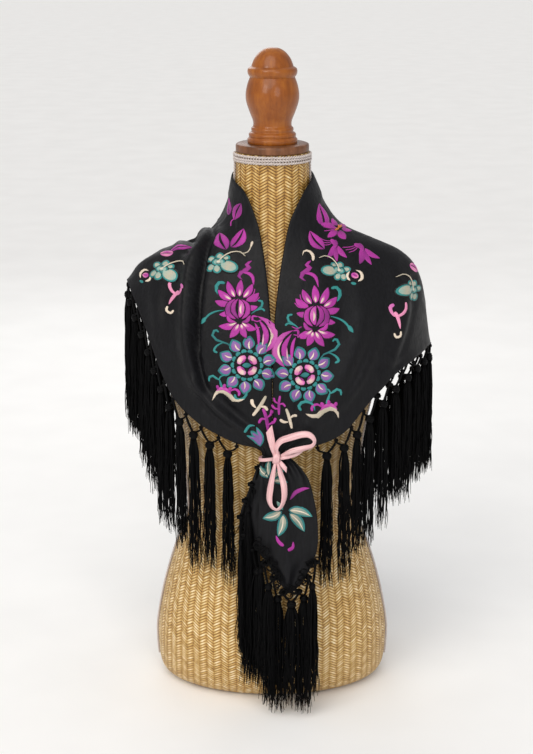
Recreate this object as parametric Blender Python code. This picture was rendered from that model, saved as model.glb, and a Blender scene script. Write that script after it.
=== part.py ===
"""Fringed silk shawl tied on a straw covered tabletop dress form.

Lengths are in metres. X runs to the right, -Y to the front and Z up; the form rests on z = 0.
The neck axis of the form is the Z axis, and an azimuth is 0 at the front and 90 degrees at +X.
"""
from math import cos, exp, hypot, pi, sin, sqrt, tau

import bmesh
import bpy
from mathutils import Vector

GAP = 0.0003                # clear space between two pieces that are sewn or pressed together
NECK_TOP = 0.773            # where the padded neck ends and the wooden disc begins
DISC_RADIUS = 0.050
DISC_THICKNESS = 0.011
BRAID_WIDTH = 0.008
BRAID_THICKNESS = 0.0010
CLOTH_THICKNESS = 0.0020
CLOTH_CLEARANCE = 0.0037    # outer face of the cloth off the form, with the braid under it
BAND_WIDTH = 0.033          # rolled edge along the neckline
BAND_RISE = 0.0016
PITCH = 0.028               # from one tassel to the next
FLOOR_CLEARANCE = 0.004
POST_LENGTH = 0.0065
KNOT_LENGTH = 0.0085
RIBBON_THICKNESS = 0.0010

# height, half width, depth to the front, depth to the back
FORM_SECTIONS = [
    (0.000, 0.139, 0.084, 0.080),
    (0.004, 0.152, 0.094, 0.089),
    (0.011, 0.161, 0.103, 0.098),
    (0.024, 0.166, 0.114, 0.107),
    (0.046, 0.168, 0.123, 0.115),
    (0.075, 0.168, 0.128, 0.120),
    (0.116, 0.1615, 0.124, 0.116),
    (0.153, 0.153, 0.118, 0.108),
    (0.200, 0.139, 0.108, 0.097),
    (0.249, 0.1215, 0.097, 0.085),
    (0.285, 0.1205, 0.094, 0.081),
    (0.330, 0.124, 0.097, 0.081),
    (0.387, 0.132, 0.104, 0.083),
    (0.425, 0.140, 0.111, 0.085),
    (0.465, 0.147, 0.115, 0.087),
    (0.505, 0.153, 0.113, 0.089),
    (0.545, 0.164, 0.104, 0.088),
    (0.575, 0.173, 0.093, 0.084),
    (0.596, 0.169, 0.083, 0.079),
    (0.612, 0.153, 0.075, 0.074),
    (0.627, 0.128, 0.068, 0.069),
    (0.643, 0.100, 0.062, 0.064),
    (0.662, 0.076, 0.056, 0.059),
    (0.688, 0.060, 0.0515, 0.054),
    (0.720, 0.0525, 0.0490, 0.050),
    (0.750, 0.0500, 0.0475, 0.048),
    (0.773, 0.0500, 0.0475, 0.0475),
]

# height above the disc, radius
FINIAL_PROFILE = [
    (0.0003, 0.0338), (0.0065, 0.0338), (0.0085, 0.0320), (0.0135, 0.0320), (0.0155, 0.0286),
    (0.0205, 0.0286), (0.0235, 0.0264), (0.0310, 0.0266), (0.0430, 0.0313), (0.0550, 0.0355),
    (0.0660, 0.0362), (0.0800, 0.0335), (0.0880, 0.0305), (0.0915, 0.0328), (0.0965, 0.0334),
    (0.1015, 0.0310), (0.1030, 0.0272), (0.1130, 0.0240), (0.1215, 0.0165),
]
FINIAL_TOP = 0.1275

# Each row is one line across the cloth from its neckline to its fringed edge, by way of two points
# between: neckline x, y, z; upper x, y, z; lower x, y, z; fringed edge x, y, z.
RIGHT_LINES = [
    ((0.0006, -0.1300, 0.3776), (0.0055, -0.1290, 0.3776), (0.0100, -0.1255, 0.3776), (0.0140, -0.1200, 0.3776)),
    ((0.0006, -0.1300, 0.3840), (0.0060, -0.1295, 0.3838), (0.0110, -0.1260, 0.3837), (0.0152, -0.1205, 0.3835)),
    ((0.0006, -0.1290, 0.3970), (0.0090, -0.1305, 0.3940), (0.0170, -0.1285, 0.3915), (0.0260, -0.1240, 0.3885)),
    ((0.0006, -0.1265, 0.4250), (0.0180, -0.1300, 0.4130), (0.0360, -0.1300, 0.4010), (0.0520, -0.1270, 0.3905)),
    ((0.0006, -0.1235, 0.4650), (0.0350, -0.1280, 0.4450), (0.0660, -0.1270, 0.4250), (0.0950, -0.1200, 0.4080)),
    ((0.0006, -0.1215, 0.5150), (0.0500, -0.1250, 0.4900), (0.0920, -0.1180, 0.4600), (0.1300, -0.1020, 0.4450)),
    ((0.0024, -0.1125, 0.5600), (0.0600, -0.1150, 0.5400), (0.1180, -0.1000, 0.5050), (0.1630, -0.0800, 0.4760)),
    ((0.0080, -0.0920, 0.6100), (0.0700, -0.0920, 0.6000), (0.1450, -0.0770, 0.5450), (0.1930, -0.0500, 0.4910)),
    ((0.0150, -0.0710, 0.6500), (0.0780, -0.0620, 0.6400), (0.1750, -0.0450, 0.5850), (0.2140, -0.0100, 0.4955)),
    ((0.0235, -0.0600, 0.6880), (0.0850, -0.0400, 0.6620), (0.1930, -0.0120, 0.6120), (0.2270, 0.0300, 0.4955)),
    ((0.0410, -0.0430, 0.7220), (0.0900, -0.0150, 0.6740), (0.1960, 0.0200, 0.6160), (0.2220, 0.0650, 0.4800)),
    ((0.0540, -0.0050, 0.7410), (0.0900, 0.0150, 0.6770), (0.1830, 0.0500, 0.6000), (0.1970, 0.1000, 0.4520)),
    ((0.0450, 0.0300, 0.7470), (0.0780, 0.0520, 0.6750), (0.1400, 0.0900, 0.5600), (0.1500, 0.1280, 0.4050)),
    ((0.0240, 0.0475, 0.7490), (0.0450, 0.0720, 0.6650), (0.0800, 0.1050, 0.5300), (0.0850, 0.1400, 0.3350)),
]
BACK_LINE = ((0.0000, 0.0520, 0.7500), (0.0000, 0.0780, 0.6600), (0.0000, 0.1080, 0.5000), (0.0000, 0.1420, 0.2500))
LEFT_LINES = [
    ((-0.0240, 0.0475, 0.7490), (-0.0450, 0.0720, 0.6650), (-0.0780, 0.1050, 0.5400), (-0.0800, 0.1400, 0.3550)),
    ((-0.0450, 0.0300, 0.7470), (-0.0740, 0.0500, 0.6700), (-0.1320, 0.0880, 0.5750), (-0.1420, 0.1250, 0.4480)),
    ((-0.0530, -0.0070, 0.7390), (-0.0790, 0.0150, 0.6680), (-0.1620, 0.0480, 0.6130), (-0.1870, 0.0900, 0.5320)),
    ((-0.0350, -0.0460, 0.7210), (-0.0780, -0.0140, 0.6660), (-0.1730, 0.0150, 0.6230), (-0.2050, 0.0400, 0.5850)),
    ((-0.0200, -0.0600, 0.6850), (-0.0760, -0.0400, 0.6560), (-0.1600, -0.0150, 0.6200), (-0.1960, -0.0100, 0.5800)),
    ((-0.0125, -0.0710, 0.6500), (-0.0750, -0.0640, 0.6380), (-0.1420, -0.0500, 0.5960), (-0.1740, -0.0500, 0.5380)),
    ((-0.0065, -0.0920, 0.6100), (-0.0680, -0.0930, 0.5960), (-0.1230, -0.0850, 0.5450), (-0.1540, -0.0800, 0.4900)),
    ((-0.0022, -0.1125, 0.5600), (-0.0580, -0.1160, 0.5330), (-0.1030, -0.1080, 0.4870), (-0.1330, -0.0980, 0.4500)),
    ((-0.0006, -0.1215, 0.5150), (-0.0430, -0.1260, 0.4850), (-0.0780, -0.1220, 0.4480), (-0.1030, -0.1130, 0.4230)),
    ((-0.0006, -0.1235, 0.4650), (-0.0300, -0.1290, 0.4470), (-0.0560, -0.1280, 0.4260), (-0.0760, -0.1210, 0.4080)),
    ((-0.0006, -0.1265, 0.4250), (-0.0170, -0.1310, 0.4130), (-0.0330, -0.1310, 0.4030), (-0.0460, -0.1270, 0.3950)),
    ((-0.0006, -0.1290, 0.3970), (-0.0090, -0.1310, 0.3945), (-0.0165, -0.1285, 0.3920), (-0.0250, -0.1240, 0.3895)),
    ((-0.0006, -0.1300, 0.3840), (-0.0060, -0.1295, 0.3838), (-0.0110, -0.1260, 0.3837), (-0.0152, -0.1205, 0.3835)),
    ((-0.0006, -0.1300, 0.3776), (-0.0055, -0.1290, 0.3776), (-0.0100, -0.1255, 0.3776), (-0.0140, -0.1200, 0.3776)),
]
# where the fringe starts, passes from one stretch to the next and ends, counted in the lines above
# and how long its tassels are at both ends
STRETCHES = [("fringe_right_front", 3.25, 9.0, 0.188, 0.158), ("fringe_right_back", 9.0, 14.0, 0.160, 0.190),
             ("fringe_left_back", 14.0, 18.0, 0.190, 0.180), ("fringe_left_front", 18.0, 24.9, 0.180, 0.185)]
# share of the way across the cloth below its rolled edge
STATIONS = [0.0, 0.14, 0.30, 0.47, 0.64, 0.82, 1.0]

# Folds that stand out of or sink into the cloth. The first three pairs are x, z as seen from the front
# (or through the form, for the back), then the half width and the height of the fold.
FRONT_FOLDS = [
    ((-0.078, 0.672), (-0.112, 0.560), (-0.052, 0.418), 0.013, 0.0085),
    ((-0.094, 0.655), (-0.128, 0.560), (-0.078, 0.440), 0.012, -0.0045),
    ((-0.060, 0.655), (-0.080, 0.560), (-0.030, 0.430), 0.012, -0.0040),
    ((-0.150, 0.628), (-0.160, 0.570), (-0.128, 0.490), 0.012, 0.0045),
    ((-0.110, 0.520), (-0.090, 0.450), (-0.030, 0.405), 0.009, 0.0050),
    ((0.110, 0.640), (0.130, 0.560), (0.060, 0.430), 0.015, 0.0065),
    ((0.082, 0.640), (0.095, 0.550), (0.035, 0.430), 0.013, -0.0040),
    ((0.165, 0.620), (0.185, 0.550), (0.150, 0.470), 0.013, 0.0075),
    ((0.140, 0.560), (0.110, 0.470), (0.030, 0.405), 0.010, 0.0045),
]
BACK_FOLDS = [
    ((-0.050, 0.660), (-0.090, 0.560), (-0.105, 0.430), 0.014, 0.0070),
    ((0.055, 0.660), (0.090, 0.560), (0.110, 0.420), 0.014, 0.0075),
    ((-0.020, 0.650), (-0.035, 0.520), (-0.045, 0.330), 0.013, 0.0060),
    ((0.025, 0.650), (0.035, 0.500), (0.040, 0.310), 0.013, 0.0055),
]

# height, left edge, right edge, middle y
FRONT_TAIL = [
    (0.3772, -0.0140, 0.0140, -0.1285),
    (0.3728, -0.0142, 0.0142, -0.1290),
    (0.3650, -0.0200, 0.0300, -0.1360),
    (0.3500, -0.0260, 0.0470, -0.1420),
    (0.3250, -0.0290, 0.0560, -0.1470),
    (0.3000, -0.0285, 0.0610, -0.1505),
    (0.2780, -0.0270, 0.0625, -0.1530),
    (0.2580, -0.0205, 0.0620, -0.1550),
    (0.2400, -0.0120, 0.0570, -0.1565),
    (0.2160, 0.0030, 0.0460, -0.1580),
    (0.1940, 0.0180, 0.0310, -0.1590),
]
REAR_TAIL = [
    (0.3772, -0.0110, 0.0110, -0.1220),
    (0.3728, -0.0115, 0.0115, -0.1222),
    (0.3650, -0.0170, 0.0150, -0.1265),
    (0.3450, -0.0310, 0.0220, -0.1300),
    (0.3200, -0.0440, 0.0260, -0.1325),
    (0.3000, -0.0530, 0.0260, -0.1340),
    (0.2850, -0.0510, 0.0240, -0.1350),
    (0.2650, -0.0380, 0.0180, -0.1360),
    (0.2450, -0.0230, 0.0080, -0.1365),
    (0.2320, -0.0120, -0.0010, -0.1370),
]


def remove_everything():
    for item in list(bpy.data.objects):
        bpy.data.objects.remove(item, do_unlink=True)


def material(name, colour, roughness, sheen=0.0):
    result = bpy.data.materials.new(name)
    result.use_nodes = True
    shader = result.node_tree.nodes["Principled BSDF"]
    shader.inputs["Base Color"].default_value = (*colour, 1.0)
    shader.inputs["Roughness"].default_value = roughness
    shader.inputs["Sheen Weight"].default_value = sheen
    result.diffuse_color = (*colour, 1.0)
    return result


def make(name, points, faces, finish):
    """One closed mesh object of triangles from points and faces."""
    mesh = bpy.data.meshes.new(name)
    mesh.from_pydata([tuple(p) for p in points], [], faces)
    shape = bmesh.new()
    shape.from_mesh(mesh)
    bmesh.ops.triangulate(shape, faces=shape.faces[:])
    bmesh.ops.recalc_face_normals(shape, faces=shape.faces[:])
    shape.to_mesh(mesh)
    shape.free()
    mesh.materials.append(finish)
    item = bpy.data.objects.new(name, mesh)
    bpy.context.scene.collection.objects.link(item)
    return item


def blend(rows, height):
    """Smooth values at a height from a table whose first column is the height."""
    if height <= rows[0][0]:
        return rows[0][1:]
    if height >= rows[-1][0]:
        return rows[-1][1:]
    at = max(k for k in range(len(rows) - 1) if rows[k][0] <= height)
    span = rows[at + 1][0] - rows[at][0]
    share = (height - rows[at][0]) / span
    result = []
    for column in range(1, len(rows[0])):
        slopes = []
        for k in (at, at + 1):
            low = rows[max(k - 1, 0)]
            high = rows[min(k + 1, len(rows) - 1)]
            slopes.append((high[column] - low[column]) / (high[0] - low[0]) * span)
        a, b = rows[at][column], rows[at + 1][column]
        s2, s3 = share ** 2, share ** 3
        result.append((2 * s3 - 3 * s2 + 1) * a + (s3 - 2 * s2 + share) * slopes[0]
                      + (3 * s2 - 2 * s3) * b + (s3 - s2) * slopes[1])
    return result


def form_radius(azimuth, height):
    half, front, back = blend(FORM_SECTIONS, height)
    depth = front if cos(azimuth) > 0 else back
    return 1.0 / sqrt((sin(azimuth) / half) ** 2 + (cos(azimuth) / depth) ** 2)


def spline(a, b, c, d, share):
    """Point between b and c of a smooth line through a, b, c, d."""
    s2, s3 = share * share, share ** 3
    return (a * (-s3 + 2 * s2 - share) + b * (3 * s3 - 5 * s2 + 2)
            + c * (-3 * s3 + 4 * s2 + share) + d * (s3 - s2)) * 0.5


def along(points, share):
    """Point of a smooth line through all the points, at a share of 0 to 1 of their number."""
    place = min(share, 0.99999) * (len(points) - 1)
    k = int(place)
    before = points[k - 1] if k else points[0] * 2 - points[1]
    after = points[k + 2] if k + 2 < len(points) else points[-1] * 2 - points[-2]
    return spline(before, points[k], points[k + 1], after, place - k)


def lathe(name, rings, segments, finish, top=None):
    """Turned piece from rings of height and radius, closed flat below and flat or to a point above."""
    points = []
    faces = []
    for height, radius in rings:
        for k in range(segments):
            turn = tau * k / segments
            points.append((radius * sin(turn), -radius * cos(turn), height))
    for row in range(len(rings) - 1):
        for k in range(segments):
            n = (k + 1) % segments
            faces.append((row * segments + k, row * segments + n,
                          (row + 1) * segments + n, (row + 1) * segments + k))
    faces.append(tuple(range(segments)))
    last = (len(rings) - 1) * segments
    if top is None:
        faces.append(tuple(range(last, last + segments)))
    else:
        points.append((0.0, 0.0, top))
        for k in range(segments):
            faces.append((last + k, last + (k + 1) % segments, len(points) - 1))
    return make(name, points, faces, finish)


def form_body(finish):
    segments = 28
    points = []
    faces = []
    for height, half, front, back in FORM_SECTIONS:
        for k in range(segments):
            turn = tau * k / segments
            reach = form_radius(turn, height)
            points.append((reach * sin(turn), -reach * cos(turn), height))
    rows = len(FORM_SECTIONS)
    for row in range(rows - 1):
        for k in range(segments):
            n = (k + 1) % segments
            faces.append((row * segments + k, row * segments + n,
                          (row + 1) * segments + n, (row + 1) * segments + k))
    faces.append(tuple(range(segments)))
    faces.append(tuple(range((rows - 1) * segments, rows * segments)))
    return make("form_body", points, faces, finish)


def neck_braid(finish):
    """Braid round the top of the neck."""
    segments = 32
    points = []
    for inner, outer, height in ((0.0, 0.0018, 0.7635), (0.0, 0.0018, 0.7725)):
        for offset in (inner, outer):
            for k in range(segments):
                turn = tau * k / segments
                reach = form_radius(turn, 0.765) + 2 * GAP + offset
                points.append((reach * sin(turn), -reach * cos(turn), height))
    faces = []
    for k in range(segments):
        n = (k + 1) % segments
        for a, b in ((0, 1), (1, 3), (3, 2), (2, 0)):
            faces.append((a * segments + k, a * segments + n, b * segments + n, b * segments + k))
    return make("form_neck_braid", points, faces, finish)


def side_braid(name, side, finish):
    """Braid down the shoulder and side seam of the form, from the neck to the rounded underside."""
    heights = [0.7620] + [row[0] for row in reversed(FORM_SECTIONS) if 0.02 < row[0] < 0.76]
    points = []
    for k, height in enumerate(heights):
        low, high = height - 0.002, height + 0.002
        slope = (form_radius(pi / 2, high) - form_radius(pi / 2, low)) / (high - low)
        out = Vector((1.0, -slope)).normalized()
        reach = form_radius(pi / 2, height)
        for step in (2 * GAP, 2 * GAP + BRAID_THICKNESS):
            for edge in (-BRAID_WIDTH / 2, BRAID_WIDTH / 2):
                points.append((side * (reach + out.x * step), edge, height + out.y * step))
    faces = []
    for k in range(len(heights) - 1):
        for a, b in ((0, 1), (1, 3), (3, 2), (2, 0)):
            faces.append((4 * k + a, 4 * k + b, 4 * k + 4 + b, 4 * k + 4 + a))
    last = 4 * (len(heights) - 1)
    faces.append((0, 1, 3, 2))
    faces.append((last, last + 2, last + 3, last + 1))
    return make(name, points, faces, finish)


def clear_of_form(point, clearance):
    """Moves a point outward from the neck axis until it is clear of the form."""
    turn = Vector((-point.y, point.x)).angle_signed(Vector((1.0, 0.0)), 0.0)
    reach = hypot(point.x, point.y)
    least = form_radius(turn, point.z) + clearance
    soft = 0.0015
    over = (reach - least) / soft
    if over > 6:
        return point
    wanted = least + soft * exp(-abs(over)) * 0.35 if over < 0 else reach + soft * exp(-over) * 0.35
    return Vector((point.x / reach * wanted, point.y / reach * wanted, point.z))


def fold_height(point, folds):
    """Sum of the folds at a point, each a soft ridge or trough along a bent line in x and z."""
    total = 0.0
    for start, middle, end, half_width, height in folds:
        nearest = 1.0
        fade = 1.0
        for k in range(13):
            s = k / 12
            x = (1 - s) ** 2 * start[0] + 2 * s * (1 - s) * middle[0] + s * s * end[0]
            z = (1 - s) ** 2 * start[1] + 2 * s * (1 - s) * middle[1] + s * s * end[1]
            away = hypot(point.x - x, point.z - z)
            if away < nearest:
                nearest = away
                fade = 0.35 + 0.65 * sin(pi * min(max(s, 0.08), 0.92))
        total += height * fade * exp(-(nearest / half_width) ** 2)
    return total


def cloth_places(lines):
    """Where the columns of the cloth lie among its lines, two to each tassel along the fringe."""
    places = [0.0, 1.0, 2.0]
    marks = {}
    for name, first, last, start_length, end_length in STRETCHES:
        steps = [first + (last - first) * k / 200 for k in range(201)]
        hem = [along([row[3] for row in lines], place / (len(lines) - 1)) for place in steps]
        lengths = [0.0]
        for a, b in zip(hem, hem[1:]):
            lengths.append(lengths[-1] + (b - a).length)
        count = 2 * round(lengths[-1] / PITCH)
        marks[name] = (len(places), len(places) + count, start_length, end_length)
        for n in range(count):
            wanted = lengths[-1] * n / count
            k = max(m for m in range(200) if lengths[m] <= wanted + 1e-9)
            share = (wanted - lengths[k]) / (lengths[k + 1] - lengths[k])
            places.append(steps[k] + (steps[k + 1] - steps[k]) * share)
    places.append(STRETCHES[-1][2])
    end = len(lines) - 1.0
    places += [end - 2.0, end - 1.0, end]
    return [place / end for place in places], marks


def cloth_columns():
    """Outer face of the shawl as columns of points, each from the neckline to the fringed edge."""
    lines = [[Vector(p) for p in row] for row in RIGHT_LINES + [BACK_LINE] + LEFT_LINES]
    places, marks = cloth_places(lines)
    columns = []
    for place in places:
        line = [along([row[part] for row in lines], place) for part in range(4)]
        path = [clear_of_form(along(line, k / 24), CLOTH_CLEARANCE) for k in range(25)]
        lengths = [0.0]
        for k in range(24):
            lengths.append(lengths[-1] + (path[k + 1] - path[k]).length)
        band = min(BAND_WIDTH, lengths[-1] * 0.35)
        stops = [0.0, band * 0.5, band * 0.97]
        stops += [band * 1.12 + (lengths[-1] - band * 1.12) * s for s in STATIONS]
        column = []
        for stop in stops:
            k = max(n for n in range(24) if lengths[n] <= stop + 1e-9)
            share = (stop - lengths[k]) / (lengths[k + 1] - lengths[k])
            column.append(path[k].lerp(path[k + 1], min(share, 1.0)))
        columns.append(column)
    return columns, marks


def normals(columns):
    """Unit directions out of the cloth at every point of its columns."""
    result = []
    for i, column in enumerate(columns):
        row = []
        for j in range(len(column)):
            before, after = columns[max(i - 1, 0)], columns[min(i + 1, len(columns) - 1)]
            sideways = after[j] - before[j]
            down = column[min(j + 1, len(column) - 1)] - column[max(j - 1, 0)]
            row.append(sideways.cross(down).normalized())
        result.append(row)
    return result


def wall(name, columns, thickness, finish, flip=1.0):
    """Closed cloth wall whose outer face is the given columns of points."""
    out = normals(columns)
    rows = len(columns[0])
    points = [p for column in columns for p in column]
    points += [p - flip * n * thickness for column, line in zip(columns, out) for p, n in zip(column, line)]
    half = len(columns) * rows
    faces = []
    for i in range(len(columns) - 1):
        for j in range(rows - 1):
            a, b, c, d = i * rows + j, (i + 1) * rows + j, (i + 1) * rows + j + 1, i * rows + j + 1
            if (i + j) % 2:
                faces += [(a, b, c), (a, c, d), (half + a, half + c, half + b), (half + a, half + d, half + c)]
            else:
                faces += [(a, b, d), (b, c, d), (half + a, half + d, half + b), (half + b, half + d, half + c)]
    rim = [i * rows for i in range(len(columns))]
    rim += [(len(columns) - 1) * rows + j for j in range(1, rows)]
    rim += [i * rows + rows - 1 for i in range(len(columns) - 2, -1, -1)]
    rim += [j for j in range(rows - 2, 0, -1)]
    for k, a in enumerate(rim):
        b = rim[(k + 1) % len(rim)]
        faces.append((a, b, half + b, half + a))
    return make(name, points, faces, finish)


def edge_line(columns, direction):
    """Line just below the middle of a wall's last row of points."""
    result = []
    for column, line in zip(columns, normals(columns)):
        outer = column[-1]
        inner = outer - direction * line[-1] * CLOTH_THICKNESS
        middle = (outer + inner) * 0.5
        result.append(Vector((middle.x, middle.y, min(outer.z, inner.z))))
    return result


def shawl_body(finish):
    """The cloth over the shoulders; returns the middle of its fringed edge and where the fringe lies on it."""
    columns, marks = cloth_columns()
    out = normals(columns)
    direction = 1.0 if out[0][4].y < 0 else -1.0
    shaped = []
    for i, column in enumerate(columns):
        row = []
        for j, point in enumerate(column):
            folds = FRONT_FOLDS if point.y < 0.03 else BACK_FOLDS
            rise = fold_height(point, folds) if j else 0.0
            if 0 < j < 3:
                rise = rise * 0.4 + BAND_RISE
            near_tie = min(1.0, max(0.0, (point.z - 0.386) / 0.03)) if point.y < 0 else 1.0
            moved = point + out[i][j] * direction * rise * near_tie
            row.append(clear_of_form(moved, CLOTH_CLEARANCE - 0.0004))
        shaped.append(row)
    wall("shawl_body", shaped, CLOTH_THICKNESS, finish, direction)
    return edge_line(shaped, direction), marks


def tail(name, table, flute, finish):
    """One hanging end of the shawl; returns its columns of points."""
    across = 10
    columns = []
    for i in range(across + 1):
        share = i / across
        column = []
        for height, left, right, y in table:
            wave = flute * sin(3.3 * pi * share + 0.8) * min(1.0, (right - left) / 0.05)
            round_off = 0.004 * (2 * share - 1) ** 2 * min(1.0, (right - left) / 0.07)
            column.append(Vector((left + (right - left) * share, y + wave + round_off, height)))
        columns.append(column)
    direction = 1.0 if normals(columns)[5][3].y < 0 else -1.0
    wall(name, columns, CLOTH_THICKNESS, finish, direction)
    return columns


class Fringe:
    """A netted heading with tassels below it, grown along one stretch of a cloth edge.

    The edge has two points to each tassel: a bundle of strands at the even ones, a tassel at the odd ones.
    """

    def __init__(self, name, edge, finish, start_length, end_length, level=None, stagger=0.0):
        self.points = []
        self.faces = []
        self.edge = edge
        self.level = level
        self.stagger = stagger
        posts = [self.post(k) for k in range(0, len(edge), 2)]
        for k in range(len(posts) - 1):
            middle = self.strip_end(2 * k + 1)
            self.join(posts[k]["top"][-2:], middle)
            self.join(middle, posts[k + 1]["top"][:2])
            length = start_length + (end_length - start_length) * (k + 0.5) / (len(posts) - 1)
            self.tassel(2 * k + 1, posts[k]["right"], posts[k + 1]["left"], length)
        self.close(posts[0]["top"][:2])
        self.close(posts[-1]["top"][-2:])
        make(name, self.points, self.faces, finish)

    def directions(self, number):
        """Level directions along and out of the edge, and how much of the edge runs level."""
        ahead = self.edge[min(number + 1, len(self.edge) - 1)] - self.edge[max(number - 1, 0)]
        share = hypot(ahead.x, ahead.y) / ahead.length
        level = self.level or Vector((ahead.x, ahead.y, 0.0)).normalized()
        return level, Vector((level.y, -level.x, 0.0)), max(share, 0.35)

    def beside(self, number, offset):
        """Point on the edge a little before or after one of its points."""
        point = self.edge[number]
        other = min(max(number + (1 if offset > 0 else -1), 0), len(self.edge) - 1)
        away = self.edge[other] - point
        return point + away.normalized() * abs(offset) if offset else point

    def pair(self, point, out, half):
        """Two points, in front of and behind the given one."""
        self.points.append(point + out * half)
        self.points.append(point - out * half)
        return (len(self.points) - 2, len(self.points) - 1)

    def join(self, first, second):
        """Four walls between two four sided ends, each given as two pairs."""
        ring_a = (first[0][0], first[1][0], first[1][1], first[0][1])
        ring_b = (second[0][0], second[1][0], second[1][1], second[0][1])
        for k in range(4):
            n = (k + 1) % 4
            self.faces.append((ring_a[k], ring_a[n], ring_b[n], ring_b[k]))

    def close(self, end):
        self.faces.append((end[0][0], end[1][0], end[1][1], end[0][1]))

    def strip_end(self, number):
        level, out, share = self.directions(number)
        point = self.edge[number]
        top = 0.0006 / share
        return [self.pair(point - Vector((0.0, 0.0, depth)), out, 0.0011) for depth in (top, top + 0.0019)]

    def post(self, number):
        """A piece of the strip with the short bundle of strands below it."""
        level, out, share = self.directions(number)
        top = 0.0006 / share
        offsets = [-0.002, 0.0, 0.002]
        if number == 0:
            offsets = [0.0006, 0.0024]
        if number == len(self.edge) - 1:
            offsets = [-0.0024, -0.0006]
        rows = []
        for offset in offsets:
            point = self.beside(number, offset)
            rows.append([self.pair(point - Vector((0.0, 0.0, depth)), out, 0.0011)
                         for depth in (top, top + 0.0019, top + 0.0019 + POST_LENGTH)])
        for a, b in zip(rows, rows[1:]):
            for side in (0, 1):
                self.faces.append((a[0][side], b[0][side], b[1][side], a[1][side]))
                self.faces.append((a[1][side], b[1][side], b[2][side], a[2][side]))
            self.faces.append((a[0][0], b[0][0], b[0][1], a[0][1]))
        for row in (rows[0], rows[-1]):
            self.faces.append((row[1][0], row[2][0], row[2][1], row[1][1]))
        first, last = rows[0], rows[-1]
        return {"top": [first[0], first[1], last[0], last[1]],
                "left": [rows[0][2], rows[1][2]], "right": [rows[-2][2], rows[-1][2]]}

    def tassel(self, number, from_left, from_right, length):
        """Two strands that meet in a knot, with three locks below it."""
        level, out, share = self.directions(number)
        turn = number // 2
        point = self.edge[number] + out * self.stagger * (1 if turn % 2 else -1)
        before, after = self.edge[number - 1], self.edge[number + 1]
        spacing = abs((after - before).dot(level))
        width = min(1.0, spacing / (0.0155 if self.stagger else 0.019))
        lowest = max(0.0, point.z - min(before.z, after.z))
        top = point.z - 0.0025 - POST_LENGTH - 0.0080 - lowest
        low = top - KNOT_LENGTH

        def at(along_level, height):
            return Vector((point.x, point.y, height)) + level * along_level * width

        tops = [self.pair(at(a, top), out, 0.0015) for a in (-0.0026, 0.0, 0.0026)]
        ends = [self.pair(at(a, low), out, 0.0020) for a in (-0.0038, -0.0012, 0.0012, 0.0038)]
        belly = self.pair(at(0.0, top - KNOT_LENGTH * 0.5), out, 0.0042)
        around = tops + ends[::-1]
        for k in range(len(around)):
            a, b = around[k], around[(k + 1) % len(around)]
            self.faces.append((a[0], b[0], belly[0]))
            self.faces.append((a[1], b[1], belly[1]))
        for a, b in ((tops[2], ends[3]), (ends[0], tops[0])):
            self.faces.append((a[0], b[0], b[1], a[1]))
        self.join(from_left, tops[:2])
        self.join(from_right, tops[1:])
        reach = min(length * (1.0 + 0.05 * sin(turn * 2.3)), low - FLOOR_CLEARANCE)
        sway = 0.0 if self.stagger else 0.0020 * sin(turn * 1.7)
        for lock in range(3):
            side = (lock - 1) * 0.0044
            middle = at(side, low - 0.028)
            tip = at(side * 1.2 + sway, low - reach + 0.004 * abs(sin(turn + lock)))
            root = [ends[lock], ends[lock + 1]]
            full = [self.pair(middle + level * a * width, out, 0.0024) for a in (-0.0018, 0.0018)]
            thin = [self.pair(tip + level * a * width, out, 0.0011) for a in (-0.0011, 0.0011)]
            self.join(root, full)
            self.join(full, thin)
            self.close(thin)


def resample(points, steps):
    """The given number of equal steps along a line of points."""
    lengths = [0.0]
    for a, b in zip(points, points[1:]):
        lengths.append(lengths[-1] + (b - a).length)
    result = []
    for n in range(steps + 1):
        wanted = lengths[-1] * n / steps
        k = max(m for m in range(len(points) - 1) if lengths[m] <= wanted + 1e-9)
        share = (wanted - lengths[k]) / (lengths[k + 1] - lengths[k])
        result.append(points[k].lerp(points[k + 1], min(share, 1.0)))
    return result


def beyond(points, distance):
    """A tail's edge moved a little outward, and back to the middle of the cloth."""
    result = []
    for k, point in enumerate(points):
        ahead = points[min(k + 1, len(points) - 1)] - points[max(k - 1, 0)]
        away = Vector((-ahead.z, 0.0, ahead.x)).normalized() * distance
        result.append(point + away + Vector((0.0, CLOTH_THICKNESS / 2, 0.0)))
    return result


def ribbon(name, path, widths, finish):
    """Satin ribbon along a line, its width in the plane that faces the front."""
    points = [Vector(p) for p in path]
    steps = 4 * (len(points) - 1)
    line = [along(points, k / steps) for k in range(steps + 1)]
    verts = []
    for k, point in enumerate(line):
        ahead = line[min(k + 1, steps)] - line[max(k - 1, 0)]
        across = ahead.cross(Vector((0.0, 1.0, 0.0))).normalized()
        facing = across.cross(ahead).normalized()
        place = k / steps * (len(widths) - 1)
        low = min(int(place), len(widths) - 2)
        width = widths[low] + (widths[low + 1] - widths[low]) * (place - low)
        for a, b in ((-1, -1), (1, -1), (1, 1), (-1, 1)):
            verts.append(point + across * a * width / 2 + facing * b * RIBBON_THICKNESS / 2)
    faces = [(0, 1, 2, 3), tuple(4 * steps + k for k in (3, 2, 1, 0))]
    for k in range(steps):
        for a in range(4):
            b = (a + 1) % 4
            faces.append((4 * k + a, 4 * k + b, 4 * k + 4 + b, 4 * k + 4 + a))
    return make(name, verts, faces, finish)


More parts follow.
